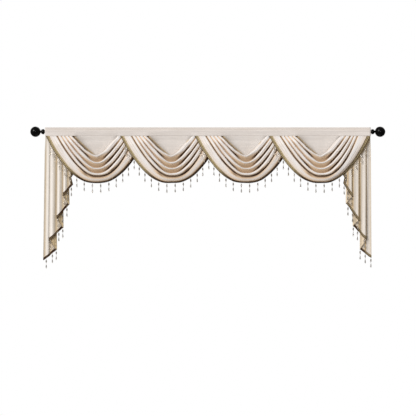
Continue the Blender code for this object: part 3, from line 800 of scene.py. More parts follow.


# ---- tails

# How the cloth runs through one layer: the share of the way across, its depth as a share of the
# depth from layer to layer, how far it swells, and how deep in painted shade it lies.
Turn = namedtuple("Turn", "across depth swell crease")
FRONT_LAYER = table(
    Turn,
    (0.0, -0.5, 0.0, 0.95), (0.008, -0.3, 0.02, 0.85), (0.036, -0.08, 0.14, 0.62),
    (0.075, 0.0, 0.5, 0.3), (0.12, 0.02, 0.92, 0.02), (0.18, 0.03, 1.0, 0.0),
    (0.25, 0.03, 0.7, 0.12), (0.33, 0.02, 0.35, 0.24), (0.4, 0.0, 0.12, 0.4),
    (0.46, 0.0, 0.02, 0.6), (0.54, 0.0, 0.0, 0.56), (0.66, 0.0, 0.0, 0.42),
    (0.8, 0.01, 0.0, 0.36), (0.92, 0.04, 0.0, 0.36), (0.99, 0.22, 0.0, 0.4),
    (1.0, 0.5, 0.0, 0.42),
)
OUTER_LAYER = {
    "left": table(
        Turn,
        (0.0, 0.3, 0.3, 0.5), (0.02, 0.24, 0.28, 0.8), (0.07, 0.06, 0.1, 0.9),
        (0.14, 0.0, 0.1, 0.34), (0.22, 0.01, 0.4, 0.12), (0.31, 0.02, 0.88, 0.0),
        (0.39, 0.02, 0.8, 0.12), (0.44, 0.01, 0.45, 0.4),
    ),
    "right": table(
        Turn,
        (0.0, 0.3, 0.3, 0.36), (0.02, 0.24, 0.28, 0.38), (0.09, 0.06, 0.1, 0.35),
        (0.16, 0.0, 0.18, 0.24), (0.24, 0.01, 0.58, 0.08), (0.32, 0.02, 0.92, 0.0),
        (0.39, 0.02, 0.72, 0.16), (0.44, 0.01, 0.35, 0.44),
    ),
}
BACK_LAYER = table(
    Turn,
    (0.0, -0.5, 0.0, 0.3), (0.01, -0.2, 0.0, 0.3), (0.08, -0.03, 0.0, 0.3),
    (0.28, 0.0, 0.0, 0.4), (0.5, 0.0, 0.0, 0.5), (0.72, 0.0, 0.0, 0.45),
    (0.92, 0.03, 0.0, 0.55), (0.99, 0.2, 0.0, 0.9), (1.0, 0.5, 0.0, 1.0),
)
# Where a layer gives way to the loose inner edge of the cloth, which doesn't turn back.
INNER_END_FROM = 0.95
INNER_END = Turn(1.0, 0.10, 0.0, 0.3)
TURNS_PER_SPAN = 2
TAIL_ROWS = 70
# How sharply the hem turns at each fold: 0 where it runs straight and 1 where it is fully eased.
HEM_EASE = 0.25
# How far each layer's outer fold swells, how far below the seam it takes, its share at the seam
# and how much it varies.
TAIL_SWELL = {"left": 0.0052, "right": 0.0034}
SWELL_REACH = 0.16
SWELL_AT_SEAM = 0.12
SWELL_WAVE = 0.15
# The ripple's share at the seam, and how fast it and the painted shade grow below the seam.
RIPPLE_AT_SEAM = 0.25
RIPPLE_STARTS = 12.0
SHADE_AT_SEAM = 0.55
SHADE_STARTS = 6.0
# How much of the painted shade at each layer's outer edge shows, and its place across the layer.
# Then how deep the painted shade is beside the braid of the swag above, and how far it reaches.
EDGE_SHADE = {"left": 0.30, "right": 1.0}
EDGE_ACROSS = (0.03, 0.10)
TOP_SHADE = {"left": 0.20, "right": 0.68}
TOP_REACH = 0.022
# How deep in painted shade a tail's braid lies, at places counted from the outer corner of the hem.
TAIL_BRAID_SHADES = {
    "left": ((0.00, 0.95), (0.40, 0.85), (0.46, 0.35), (0.52, 0.35), (0.58, 0.95), (0.85, 0.90),
             (1.00, 0.62), (2.50, 0.62), (2.56, 0.35), (2.60, 0.35), (2.66, 1.00), (3.00, 0.85),
             (4.00, 0.62), (4.30, 0.70), (4.40, 1.00), (4.72, 1.00), (4.78, 0.35), (4.82, 0.35),
             (4.88, 1.00), (5.00, 0.90), (6.00, 0.62), (6.60, 0.75), (6.70, 1.00), (7.00, 0.90)),
    "right": ((0.00, 0.30), (0.50, 0.30), (0.58, 0.95), (0.90, 0.95), (1.00, 0.50), (2.00, 0.30),
              (2.55, 0.30), (2.62, 1.00), (2.92, 1.00), (3.00, 0.80), (4.00, 0.30), (4.94, 0.30),
              (5.00, 0.80), (6.00, 0.30), (7.00, 0.45)),
}
TAIL_RIM_SHADE = {"left": 1.0, "right": 0.7}
# How far the outer edge swells sideways below the seam, over which share of the outer layer.
OUTER_SWELL = 0.0034
OUTER_SWELL_DEPTH = 0.12
OUTER_REACH = 0.4
# The braid on a tail's inner edge: its top and foot, its rows and width, the columns of cloth that
# it lies on, and its shades.
EDGE_BRAID_TOP = -0.29
EDGE_BRAID_FOOT = 0.004
EDGE_BRAID_ROWS = 36
EDGE_BRAID_WIDTH = 0.016
EDGE_COLUMNS = 14
EDGE_BRAID_SHADE = {"left": 0.62, "right": 0.30}
EDGE_BRAID_RIM = 0.8
# How far the inner edge strays sideways, towards the middle of the valance, at each height, and
# where across the last layer that starts.
EDGE_WAVE = ((-0.46, 0.0), (-0.405, -0.001), (-0.378, -0.007), (-0.352, -0.013), (-0.330, 0.002),
             (-0.300, -0.004), (-0.26, 0.0), (-0.03, 0.0))
INNER_FROM = 0.3


def tail_turns(strip, last, side):
    """The turns of one layer, laid finely: across, depth, swell and painted shade."""
    layer = FRONT_LAYER if strip % 2 == 0 else BACK_LAYER
    if strip == 0:
        outer = OUTER_LAYER[side]
        layer = outer + tuple(turn for turn in layer if turn.across > outer[-1].across)
    if strip == last:
        layer = tuple(turn for turn in layer if turn.across < INNER_END_FROM) + (INNER_END,)
    fine = spline(np.array(layer), TURNS_PER_SPAN)
    return fine if strip == 0 else fine[1:]


def tail_outline(corners, side, strip, across):
    """Where the points of a tail's cloth lie seen from the front, as x and z."""
    points = np.array(corners)
    start, end = points[strip].T, points[strip + 1].T
    seam_x, hem_x = mix(start[:2], end[:2], across)
    share = (across - TURN_LEVEL) / (1.0 - 2.0 * TURN_LEVEL)
    hem_z = mix(start[2], end[2], mix(np.clip(share, 0.0, 1.0), smooth(share), HEM_EASE))
    down = np.concatenate([[-TUCK / TAIL_LENGTH], np.linspace(0.0, 1.0, TAIL_ROWS)])[:, None]
    z = SEAM_Z + (hem_z - SEAM_Z) * down
    x = mix(seam_x, hem_x, down)
    inward = strip - (len(corners) - 2) + across
    inner = np.clip((inward - INNER_FROM) / (1.0 - INNER_FROM), 0.0, 1.0) ** 2
    wave_z, wave = zip(*EDGE_WAVE)
    x += -side * inner * np.interp(z, wave_z, wave)
    outermost = np.clip(1.0 - (strip + across) / OUTER_REACH, 0.0, 1.0) ** 2
    x += side * outermost * OUTER_SWELL * smooth(-(z - SEAM_Z) / OUTER_SWELL_DEPTH)
    return x, z


def tail_surface(name):
    """The face of a tail's cloth: its points, how deep in shade each one is, and a table of its
    columns as (strip, across)."""
    corners = TAILS[name]
    side = 1.0 if name == "right" else -1.0
    last = len(corners) - 2
    columns = [(strip, *turn) for strip in range(last + 1) for turn in tail_turns(strip, last, name)]
    columns = np.array(columns if name == "left" else columns[::-1])
    strip, across, depth, swell, shade = columns.T
    x, z = tail_outline(corners, side, strip.astype(int), across)
    below = np.maximum(SEAM_Z - z, 0.0) / TAIL_LENGTH
    pitch = mix(TAIL_SEAM_PITCH, TAIL_HEM_PITCH, below)
    ripple = TAIL_WAVE * mix(RIPPLE_AT_SEAM, 1.0, below) * smooth(below * RIPPLE_STARTS)
    ripple = ripple * np.sin(2.0 * math.pi * x / TAIL_WAVE_LENGTH + 0.5 * np.sin(5.0 * z))
    fullness = TAIL_SWELL[name] * smooth(below / SWELL_REACH + SWELL_AT_SEAM)
    fullness = fullness * (1.0 + SWELL_WAVE * np.sin(11.0 * z + strip))
    forward = TAIL_BACK + pitch * (strip + depth) + fullness * swell + ripple
    shade = shade * mix(EDGE_SHADE[name], 1.0, eased(across, *EDGE_ACROSS))
    crease = shade * mix(SHADE_AT_SEAM, 1.0, smooth(below * SHADE_STARTS))
    outer = SWAGS[-1 if name == "right" else 0]
    hem = line_place(FOLD_LINES[-1], side * np.linspace(1.0, 0.0, 80))
    at = outer.middle + np.interp(SEAM_Z - z, -hem[:, 1], hem[:, 0])
    beside = np.maximum(side * (x - at), 0.0) / TOP_REACH
    crease = np.maximum(crease, TOP_SHADE[name] * np.exp(-beside ** 2))
    return np.stack([x, -forward, z], axis=-1), crease, columns[:, :2]


# ---- braid and beads

# The gimp braid: its tape's two faces above the cloth, its crossing cords and the lengths of their
# waves and steps. Its edge cords: where they lie down the tape, as a share, and their thickness.
TAPE_LOW = 0.0001
TAPE_HIGH = 0.0012
GIMP_PITCH = 0.0105
GIMP_CORD = 0.0014
GIMP_SWAY = 0.16
GIMP_LIFT = 0.0015
GIMP_CENTRES = ((0.27, 0.0), (0.73, 0.5 * math.pi))
GIMP_STEP = 0.0014
EDGE_STEP = 0.0035
UPPER_EDGE = 0.03
MIDDLE_EDGE = 0.5
LOWER_EDGE = 0.95
EDGE_CORD = 0.0013
EDGE_CORD_SWELL = 0.001
LOWER_CORD = 0.0022

# How thick a strand of beads is at places below its braid, and the room and the reach in which it
# feels the cloth behind it.
BEAD_REST = ((0.000, 0.0011), (0.013, 0.0011), (0.025, 0.0052), (0.038, 0.0011),
             (0.048, 0.0011), (0.064, 0.0050), (0.080, 0.0008))
BEAD_CLEARANCE = 0.0008
BEAD_REACH = 0.01
BEAD_ROOM = 0.003
STRAND_LENGTH = 0.0805
STRAND_STEPS = 24
THREAD_RADIUS = 0.00035
# Each bead as (drop, radius) pairs, where it starts below the braid, its sides, and how far round
# it is turned from strand to strand.
UPPER_BEAD = ((0.0000, 0.0010), (0.0020, 0.0034), (0.0068, 0.0052), (0.0172, 0.0052),
              (0.0224, 0.0034), (0.0244, 0.0010))
UPPER_START = 0.013
UPPER_TURN = 0.37
LOWER_BEAD = ((0.0000, 0.0010), (0.0040, 0.0026), (0.0118, 0.0043), (0.0212, 0.0052),
              (0.0276, 0.0042), (0.0304, 0.0014))
LOWER_START = 0.049
LOWER_TURN = 0.61
BEAD_SIDES = 8
SEED_BEAD = ((0.0, 0.0007), (0.0009, 0.0016), (0.0021, 0.0016), (0.0030, 0.0007))
SEEDS = (0.0010, 0.0044, 0.0078, 0.0380, 0.0415, 0.0450)
SEED_TURN = 0.3
SEED_SIDES = 6


def strip_of(grid, normals):
    """Points and normals of a braid's strip by place, with the length along its middle."""
    along = arc_lengths(grid[len(grid) // 2], 0)

    def at(share, length):
        column = np.interp(length, along, np.arange(len(along)))
        row = share * (len(grid) - 1)
        low_c = np.minimum(column.astype(int), len(along) - 2)
        low_r = np.minimum(row.astype(int), len(grid) - 2)
        part_c = (column - low_c)[:, None]
        part_r = (row - low_r)[:, None]
        found = []
        for values in (grid, normals):
            upper = mix(values[low_r, low_c], values[low_r, low_c + 1], part_c)
            lower = mix(values[low_r + 1, low_c], values[low_r + 1, low_c + 1], part_c)
            found.append(mix(upper, lower, part_r))
        return found

    return at, along


def add_slab(soup, grid, normals, low, high, shade):
    """A closed tape between two heights over a grid."""
    rows, columns = grid.shape[:2]
    faces = grid_faces(rows, columns)
    size = rows * columns
    index = np.arange(size).reshape(rows, columns)
    rim = np.concatenate([index[0, ::-1], index[1:, 0], index[-1, 1:], index[-2:0:-1, -1]])
    after = np.roll(rim, -1)
    sides = np.stack([rim, rim + size, after + size, after], axis=-1)
    soup.add(np.concatenate([grid + normals * high, grid + normals * low]),
             np.concatenate([faces, faces[:, ::-1] + size, sides]), 0, np.tile(shade, (2 * rows, 1)))


def add_tube(soup, path, reference, radius, sides, material, shade=0.0):
    """A round cord along a path. The reference is a direction across it at each point."""
    tangent = unit(np.gradient(path, axis=0))
    first = unit(reference - tangent * (reference * tangent).sum(axis=1, keepdims=True))
    second = np.cross(tangent, first)
    angles = 2.0 * math.pi * np.arange(sides) / sides
    rings = path[:, None] + radius * (
        np.cos(angles)[None, :, None] * first[:, None]
        + np.sin(angles)[None, :, None] * second[:, None]
    )
    soup.add(rings, ring_faces(len(path), sides), material, np.reshape(shade, (-1, 1)))


def add_braid(name, grid, normals, node, materials, shade, rim):
    """Gimp braid over a strip of cloth: a tape, two crossing cords and a cord at each edge. The
    rim is the shade of the cord at the upper edge."""
    soup = Soup()
    add_slab(soup, grid, normals, TAPE_LOW, TAPE_HIGH, shade)
    at, along = strip_of(grid, normals)
    length = float(along[-1])
    fine = np.linspace(0.0, length, int(length / GIMP_STEP))
    for centre, phase in GIMP_CENTRES:
        points, up = at(centre + GIMP_SWAY * np.sin(2.0 * math.pi / GIMP_PITCH * fine + phase), fine)
        deep = np.interp(fine, along, shade)
        add_tube(soup, points + up * GIMP_LIFT, up, GIMP_CORD, 4, 1, deep)
    coarse = np.linspace(0.0, length, int(length / EDGE_STEP))
    edge_cords = ((UPPER_EDGE, 1, EDGE_CORD + EDGE_CORD_SWELL * max(rim), rim),
                  (MIDDLE_EDGE, 2, EDGE_CORD, shade), (LOWER_EDGE, 2, LOWER_CORD, shade))
    for share, material, radius, shades in edge_cords:
        points, up = at(np.full(len(coarse), share), coarse)
        deep = np.interp(coarse, along, shades)
        add_tube(soup, points + up * radius, up, radius, 5, material, deep)
    return soup.make(name, node, materials)


def strand_forward(root, under, heights):
    """How far forward a strand hangs at each distance below its root, over the cloth behind it,
    and whether any cloth is there."""
    rest = []
    covered = False
    for below, radius in BEAD_REST:
        forward = -root[1]
        if under is not None and below > 0.0:
            near = (np.abs(under[:, 0] - root[0]) < radius + BEAD_ROOM)
            near &= np.abs(under[:, 2] - (root[2] - below)) < BEAD_REACH
            if near.any():
                covered = True
                forward = max(forward, float(-under[near, 1].min()) + radius + BEAD_CLEARANCE)
        rest.append(forward)
    return np.interp(heights, [below for below, radius in BEAD_REST], rest), covered


def add_bead(soup, root, start, profile, sides, forward, turn, material):
    angles = 2.0 * math.pi * (np.arange(sides) + turn) / sides
    rings = []
    for drop, radius in profile:
        x = root[0] + radius * np.cos(angles)
        y = radius * np.sin(angles) - forward(start + drop)
        rings.append(np.stack([x, y, np.full(sides, root[2] - (start + drop))], axis=-1))
    soup.add(rings, ring_faces(len(profile), sides, turned=True), material)


def add_strands(name, roots, node, materials, paler_over_cloth):
    """All the bead strands of one braid. Each root is (point, cloth behind)."""
    soup = Soup()
    heights = np.linspace(0.0, STRAND_LENGTH, STRAND_STEPS)
    across = np.tile([1.0, 0.0, 0.0], (STRAND_STEPS, 1))
    for number, (root, under) in enumerate(roots):
        line, covered = strand_forward(root, under, heights)

        def forward(height):
            return np.interp(height, heights, line)

        thread = np.stack([np.full(STRAND_STEPS, root[0]), -line, root[2] - heights], axis=-1)
        add_tube(soup, thread, across, THREAD_RADIUS, 4, 2)
        # Over cloth every bead takes the crystal painted paler.
        upper, lower = (3, 3) if covered and paler_over_cloth else (0, 1)
        for seed in SEEDS:
            add_bead(soup, root, seed, SEED_BEAD, SEED_SIDES, forward, SEED_TURN, lower)
        add_bead(soup, root, UPPER_START, UPPER_BEAD, BEAD_SIDES, forward, UPPER_TURN * number, upper)
        add_bead(soup, root, LOWER_START, LOWER_BEAD, BEAD_SIDES, forward, LOWER_TURN * number, lower)
    return soup.make(name, node, materials, flat=True)


# ---- heading, panel and stitches

# The heading's section as (forward, height) pairs from the pocket up over the header and down its
# back to the pocket again, and the shares of the way from the pocket to the front wall's foot.
HEADER_PROFILE = (
    (0.0145, 0.0020), (0.0138, 0.0075), (0.0128, 0.0130), (0.0115, HEADER_STITCH),
    (0.0109, 0.0240), (0.0102, 0.0290), (0.0092, 0.0324), (0.0082, HEADING_TOP),
    (0.0072, 0.0324), (0.0074, 0.0285), (0.0080, 0.0235), (0.0086, HEADER_STITCH),
    (0.0020, 0.0158),
)
WALL_PROFILE = ((0.88, -0.0290), (0.64, -0.0215), (0.32, -0.0130))
BACK_KNEE = (0.65, -0.0225)
FRONT_EDGE = 0.0008
HEADING_COLUMNS = 251
# The pleating of the heading by its stitches and its seam, and its sag between them.
PUCKER = 0.001
PUCKER_LENGTH = 0.021
STITCH_PUCKER = 0.35
SEAM_PUCKER = 0.25
SAG = 0.0006
SAG_LENGTH = 0.37
SAG_HEIGHT = 0.004
# The line of stitches: the depth that parts the header's front from its back, a thread's length, the
# gap to the next, its thickness, and its lift off the cloth along its length.
HEADER_FRONT = -0.0072
STITCH = 0.003
STITCH_GAP = 0.0011
STITCH_RADIUS = 0.00032
STITCH_SHARES = np.array([0.0, 0.18, 0.82, 1.0])
STITCH_LIFTS = np.array([-0.0002, 0.00035, 0.00035, -0.0002])
# The panel's slight waves, and its painted shade: low down, a cast shadow beside each left fan, and a
# line at the right.
PANEL_COLUMNS = 501
PANEL_ROWS = 34
PANEL_WAVES = ((0.0008, 0.19), (0.0005, 0.071))
LOW_SHADE = 0.11
FAN_SHADE = 0.86
FAN_REACH = 0.024
LINE_SHADE = 0.3
LINE_REACH = 0.008


def wall_forward(x):
    """How far forward the heading's front wall stands at the seam."""
    forward = np.full_like(x, WALL_AT_FANS)
    for swag in SWAGS:
        inside = np.minimum(x - (swag.middle - GAP_LEFT), swag.middle + GAP_RIGHT - x)
        at_gap = mix(WALL_AT_FANS, WALL_AT_GAP, smooth(inside / WALL_SLOPE))
        forward = np.minimum(forward, at_gap)
    return mix(forward, WALL_AT_TAILS, smooth((np.abs(x) - TAIL_ZONE + TAIL_SLOPE) / TAIL_SLOPE))


def heading_surface():
    """The strip folded over the rod, from its front edge over the top to its back edge."""
    x = np.linspace(-HEADING_HALF_WIDTH, HEADING_HALF_WIDTH, HEADING_COLUMNS)
    front = wall_forward(x)
    pocket = [(POCKET_RADIUS * math.cos(math.radians(angle)),
               POCKET_RADIUS * math.sin(math.radians(angle))) for angle in POCKET_ANGLES]
    widest = pocket[0][0]
    section = [(front - FRONT_EDGE, SEAM_Z)]
    section += [(mix(widest, front, share), height) for share, height in WALL_PROFILE]
    section += [pocket[0], *HEADER_PROFILE]
    section += [(-forward, height) for forward, height in reversed(pocket)]
    section += [(mix(-widest, BACK_WALL, BACK_KNEE[0]), BACK_KNEE[1]), (BACK_WALL, SEAM_Z)]
    rows = np.array([
        np.stack(np.broadcast_arrays(x, -forward, height), axis=-1) for forward, height in section
    ])
    grid = spline(rows[::-1], 3)
    z = grid[..., 2]
    near_stitch = np.exp(-((z - HEADER_STITCH) / 0.010) ** 2)
    near_seam = np.exp(-((z - SEAM_Z) / 0.012) ** 2)
    pucker = np.sin(2.0 * math.pi * x / PUCKER_LENGTH + 1.3 * np.sin(9.0 * x))
    pucker = pucker * (STITCH_PUCKER * near_stitch + SEAM_PUCKER * near_seam)
    sag = np.sin(2.0 * math.pi * x / SAG_LENGTH + 0.8) * np.exp(-((z - SAG_HEIGHT) / 0.02) ** 2)
    grid += normals_of(grid) * (PUCKER * pucker + SAG * sag)[..., None]
    # Painted shade along the line of stitches, but not over the top, and in the seam.
    top = smooth((z - 0.030) / 0.0035)
    crease = 0.06 * near_stitch * (1.0 - top) + 0.12 * np.exp(-((z - SEAM_Z) / 0.0020) ** 2)
    return grid, crease


def panel_surface():
    """The flat strip behind the swags, and how deep in their painted shade it lies."""
    x = np.linspace(-PANEL_HALF_WIDTH, PANEL_HALF_WIDTH, PANEL_COLUMNS)
    down = np.linspace(0.0, 1.0, PANEL_ROWS)[:, None]
    z = mix(SEAM_Z + TUCK, PANEL_BOTTOM, down) * np.ones_like(x)
    (high, length), (higher, shorter) = PANEL_WAVES
    wave = high * (np.sin(2.0 * math.pi * x / length) - 1.0) * down
    wave = wave + higher * down * np.sin(2.0 * math.pi * x / shorter + 3.0 * down)
    forward = PANEL_FORWARD + wave
    crease = LOW_SHADE * smooth((-0.040 - z) / 0.09)
    across = np.linspace(-1.0, -0.05, 60)
    for swag in SWAGS:
        forward = forward + gap_forward(x - swag.middle, SEAM_Z - z) - PANEL_FORWARD
        left, right = (
            swag.middle + np.interp(SEAM_Z - z, -edge[:, 1], edge[:, 0])
            for edge in (line_place(FOLD_LINES[0], across), line_place(FOLD_LINES[0], -across))
        )
        shade = FAN_SHADE * np.exp(-np.abs(x - left) / FAN_REACH)
        shade = shade * smooth((swag.middle + 0.01 - x) / 0.05)
        line = LINE_SHADE * np.exp(-np.abs(x - right) / LINE_REACH)
        crease = np.maximum(crease, np.maximum(shade, line * smooth((x - swag.middle) / 0.03)))
    return np.stack([x * np.ones_like(z), -forward, z], axis=-1), crease


def add_stitches(name, points, out, material):
    """A line of stitches on cloth: short rounded threads, laid on evenly spaced points."""
    soup = Soup()
    run = arc_lengths(points, 0)
    for start in np.arange(STITCH_GAP, run[-1] - STITCH, STITCH + STITCH_GAP):
        places = start + STITCH * STITCH_SHARES
        path = np.stack([np.interp(places, run, points[:, axis]) for axis in range(3)], axis=-1)
        path = path + out * STITCH_LIFTS[:, None]
        add_tube(soup, path, np.tile(out, (4, 1)), STITCH_RADIUS, 4, 0)
    return soup.make(name, None, [material])


def add_heading(materials):
    """The heading and its stitches."""
    grid, crease = heading_surface()
    heading = add_cloth("heading_cloth", "heading", grid, crease, CLOTH,
                        materials["greige"], materials["greige"])
    behind = grid[:, 0, 1] > HEADER_FRONT
    row = np.argmin(np.abs(grid[:, 0, 2] - HEADER_STITCH) + 9.0 * behind)
    forward = np.array([0.0, -1.0, 0.0])
    return heading, add_stitches("header_stitches", grid[row], forward, materials["thread"])


def add_panel(materials):
    grid, crease = panel_surface()
    return add_cloth("panel_cloth", "back_panel", grid, crease, CLOTH,
                     materials["panel"], materials["panel_back"])


# ---- pole

AXIS = 0.0005
ROD_BEND = 0.0012
ROD_PROFILE = (
    (AXIS, ROD_HALF_LENGTH), (ROD_RADIUS, ROD_HALF_LENGTH), (ROD_RADIUS, 0.0),
    (ROD_RADIUS, -ROD_HALF_LENGTH), (AXIS, -ROD_HALF_LENGTH),
)
COLLAR_BEND = 0.0009
COLLAR_PROFILE = (
    (0.0008, COLLAR_LENGTH), (0.0088, COLLAR_LENGTH), (0.0090, 0.0245), (0.0096, 0.0228),
    (0.0120, 0.0215), (0.0168, 0.0190), (0.0184, 0.0160), (0.0196, 0.0100), (0.0200, 0.0070),
    (0.0205, 0.0062), (0.0205, 0.0004), (0.0190, 0.0), (0.0129, 0.0), (0.0129, 0.0054),
    (0.0008, 0.0054),
)
NECK_PROFILE = ((0.0068, 0.0282), (0.0084, 0.0272), (0.0084, 0.0276), (0.0008, 0.0276))
ROUND_STEPS = 48
BALL_STEPS = 56
BALL_ARCS = 28


def add_turned(name, node, profile, steps, material, side=1.0, place=0.0):
    """Turns (radius, height) pairs about the pole's axis. The heights run from a place on the
    axis towards one side, and the profile starts at its far end."""
    angles = 2.0 * math.pi * np.arange(steps) / steps
    rings = [
        np.stack([np.full(steps, side * height + place), radius * np.cos(angles),
                  radius * np.sin(angles)], axis=-1) for radius, height in profile
    ]
    soup = Soup()
    soup.add(rings, ring_faces(len(profile), steps, turned=side > 0.0))
    soup.make(name, node, [material])


def rounded(points, bend, steps=4):
    """Rounds the corners of a profile: each inner point turns into a short arc."""
    found = [points[0]]
    for before, corner, after in zip(points, points[1:], points[2:]):
        corner = np.array(corner)
        back, on = np.array(before) - corner, np.array(after) - corner
        reach = min(bend, 0.45 * np.linalg.norm(back), 0.45 * np.linalg.norm(on))
        start, end = corner + unit(back) * reach, corner + unit(on) * reach
        for step in range(steps + 1):
            s = step / steps
            arc = (1.0 - s) ** 2 * start + 2.0 * s * (1.0 - s) * corner + s ** 2 * end
            found.append(tuple(arc))
    return found + [points[-1]]


def ball_profile():
    neck = math.asin(NECK_RADIUS / BALL_RADIUS)
    profile = [(0.0008, BALL_CENTRE + BALL_RADIUS)]
    for arc in range(1, BALL_ARCS + 1):
        angle = (math.pi - neck) * arc / BALL_ARCS
        profile.append((BALL_RADIUS * math.sin(angle), BALL_CENTRE + BALL_RADIUS * math.cos(angle)))
    return [*profile, *NECK_PROFILE]


def add_pole():
    black = pole_material()
    add_turned("pole_rod", "rod", rounded(ROD_PROFILE, ROD_BEND), ROUND_STEPS, black)
    for name, side in (("left", -1.0), ("right", 1.0)):
        place = side * COLLAR_FACE
        collar = rounded(COLLAR_PROFILE, COLLAR_BEND)
        add_turned("pole_collar_" + name, "collar_" + name, collar, ROUND_STEPS, black, side, place)
        add_turned("pole_ball_" + name, "finial_" + name, ball_profile(), BALL_STEPS, black, side, place)


# ---- the whole valance


def cloth_materials():
    """The materials of the cloths, the braids and the beads, by name."""
    made = {
        "cream": cloth_material("cream_satin_face", SATIN, (CREAM, CREASE_SHADE_TAN, CREASE_SHADE_BROWN)),
        "reverse": cloth_material("cream_satin_reverse", SATIN_BACK, (REVERSE, REVERSE, REVERSE_CREASE_SHADE)),
        "greige": cloth_material("greige_slub", SLUB_WEAVE, (GREIGE, GREIGE_SHADE_TAN, GREIGE_SHADE_TAN),
                                 streak=0.075),
        "panel": cloth_material("greige_panel", SLUB_WEAVE,
                                (PANEL, PANEL_SHADE_GREY, PANEL_SHADE_GOLD, PANEL_SHADE_GOLD), streak=0.05),
        "panel_back": cloth_material("greige_panel_reverse", SLUB_WEAVE._replace(roughness=0.75),
                                     (GREIGE, GREIGE, GREIGE)),
        "thread": cord_material("bead_thread", (0.30, 0.24, 0.15), (0.5, 0.42, 0.28), 0.0009, 0.7),
    }
    for side, tints in TAIL_TINTS.items():
        made["face_" + side] = cloth_material(
            "cream_satin_" + side, SATIN, (tints.cream, tints.grey, tints.gold, CREASE_SHADE_BROWN))
        made["reverse_" + side] = cloth_material(
            "tail_reverse_" + side, SATIN_BACK, (tints.reverse, tints.reverse, REVERSE_CREASE_SHADE),
            tints.mottle)
    made["braid"] = [
        cord_material("old_gold_tape", (0.24, 0.18, 0.09), (0.52, 0.42, 0.25), 0.0016, 0.6),
        cord_material("old_gold_cord", (0.34, 0.26, 0.13), (0.80, 0.67, 0.42), 0.0013, 0.5),
        cord_material("dark_edge_cord", (0.022, 0.013, 0.007), (0.085, 0.055, 0.026), 0.0012, 0.65),
    ]
    made["beads"] = [
        crystal_material("smoky_crystal", (0.60, 0.56, 0.52), 0.80),
        crystal_material("pale_crystal", (0.80, 0.77, 0.73), 0.85),
        made["thread"],
        # Crystal for strands that hang over cloth: painted paler to offset the shade there, and duller.
        crystal_material("crystal_painted_paler", (0.94, 0.90, 0.84), 0.9, 0.55, 0.25),
    ]
    return made


def braid_rise(corners, columns, side):
    """How far a tail's braid reaches up from the hem at each column, for an even width."""
    slopes = [abs((end.hem_z - start.hem_z) / (end.hem_x - start.hem_x))
              for start, end in zip(corners, corners[1:])]
    rise = TAIL_BRAID[side] * np.hypot(1.0, np.array(slopes)[columns[:, 0].astype(int)])
    return np.convolve(np.pad(rise, 2, mode="edge"), np.full(5, 0.2), mode="valid")


def tail_braid_strip(side, grid, columns):
    """The strip of a tail's cloth under its braid, from its upper edge down to the hem."""
    rise = braid_rise(TAILS[side], columns, side)
    height = grid[-1, :, 2] + rise * np.linspace(1.0, 0.0, 5)[:, None]
    return np.array([
        [[np.interp(-z, -grid[:, at, 2], grid[:, at, axis]) for axis in range(2)] + [z]
         for at, z in enumerate(row)] for row in height
    ])


def add_edge_braid(side, grid, materials):
    """The braid that turns the corner of a tail's hem and runs up its inner edge."""
    left = side == "left"
    edge = grid[:, -1 if left else 0]
    levels = np.linspace(edge[-1, 2] + EDGE_BRAID_FOOT, EDGE_BRAID_TOP, EDGE_BRAID_ROWS)
    if not left:
        levels = levels[::-1]
    rows = []
    for inward in np.linspace(EDGE_BRAID_WIDTH, 0.0, 5):
        line = []
        for level in levels:
            x = np.interp(-level, -edge[:, 2], edge[:, 0])
            row = grid[int(np.argmin(np.abs(edge[:, 2] - level)))]
            near = row[-EDGE_COLUMNS:] if left else row[:EDGE_COLUMNS]
            near = near[np.argsort(near[:, 0])]
            at = x - inward if left else x + inward
            line.append([at, np.interp(at, near[:, 0], near[:, 1]), level])
        rows.append(line)
    strip = np.array(rows)
    return add_braid("tail_edge_braid_" + side, strip, normals_of(strip), "tail_trim_" + side,
                     materials["braid"], np.full(len(levels), EDGE_BRAID_SHADE[side]),
                     np.full(len(levels), EDGE_BRAID_RIM))


def add_tail(side, materials):
    """A tail with its braids and beads. Returns the points of its cloth."""
    grid, crease, columns = tail_surface(side)
    cloud = grid.reshape(-1, 3)
    cloth = add_cloth("tail_cloth_" + side, "tail_" + side, grid, crease, TAIL_CLOTH,
                      materials["face_" + side], materials["reverse_" + side])
    strip = tail_braid_strip(side, grid, columns)
    node = "tail_trim_" + side
    shades = np.interp(columns.sum(axis=1), *zip(*TAIL_BRAID_SHADES[side]))
    braid = add_braid("tail_braid_" + side, strip, normals_of(strip), node, materials["braid"],
                      shades, np.full(len(shades), TAIL_RIM_SHADE[side]))
    edge_braid = add_edge_braid(side, grid, materials)
    roots = []
    for layer, places in TAIL_STRANDS[side].items():
        found = np.where(columns[:, 0] == layer)[0]
        order = found[np.argsort(columns[found, 1])]
        for along in places:
            at = np.interp(along, columns[order, 1], order)
            low = int(at)
            point = mix(strip[-1][low], strip[-1][min(low + 1, len(columns) - 1)], at - low)
            roots.append((point + TAIL_ROOT, cloud))
    strands = add_strands("tail_beads_" + side, roots, node, materials["beads"], False)
    return cloud


def add_swag(swag, number, surface, left_under, right_under, materials):
    """A swag with its braid and beads, which hang over the cloths at its left and right."""
    grid, crease = surface
    cloth = add_cloth(f"swag_cloth_{number}", f"swag_{number}", grid, crease, CLOTH,
                      materials["cream"], materials["reverse"])
    braid_rows = BRAID_SPANS * ROWS_PER_SPAN + 1
    strip, normals = grid[-braid_rows:], normals_of(grid)[-braid_rows:]
    node = f"swag_trim_{number}"
    braid = add_braid(f"swag_braid_{number}", strip[:, 1:-1], normals[:, 1:-1], node,
                      materials["braid"], *braid_shades(number))
    roots = []
    for place, left in swag_strand_places(swag):
        low = int(place)
        point = mix(strip[-1][low], strip[-1][low + 1], place - low)
        point = point + normals[-1][low] * SWAG_ROOT_OUT + np.array([0.0, 0.0, SWAG_ROOT_UP])
        roots.append((point, left_under if left else right_under))
    strands = add_strands(f"swag_beads_{number}", roots, node, materials["beads"], True)


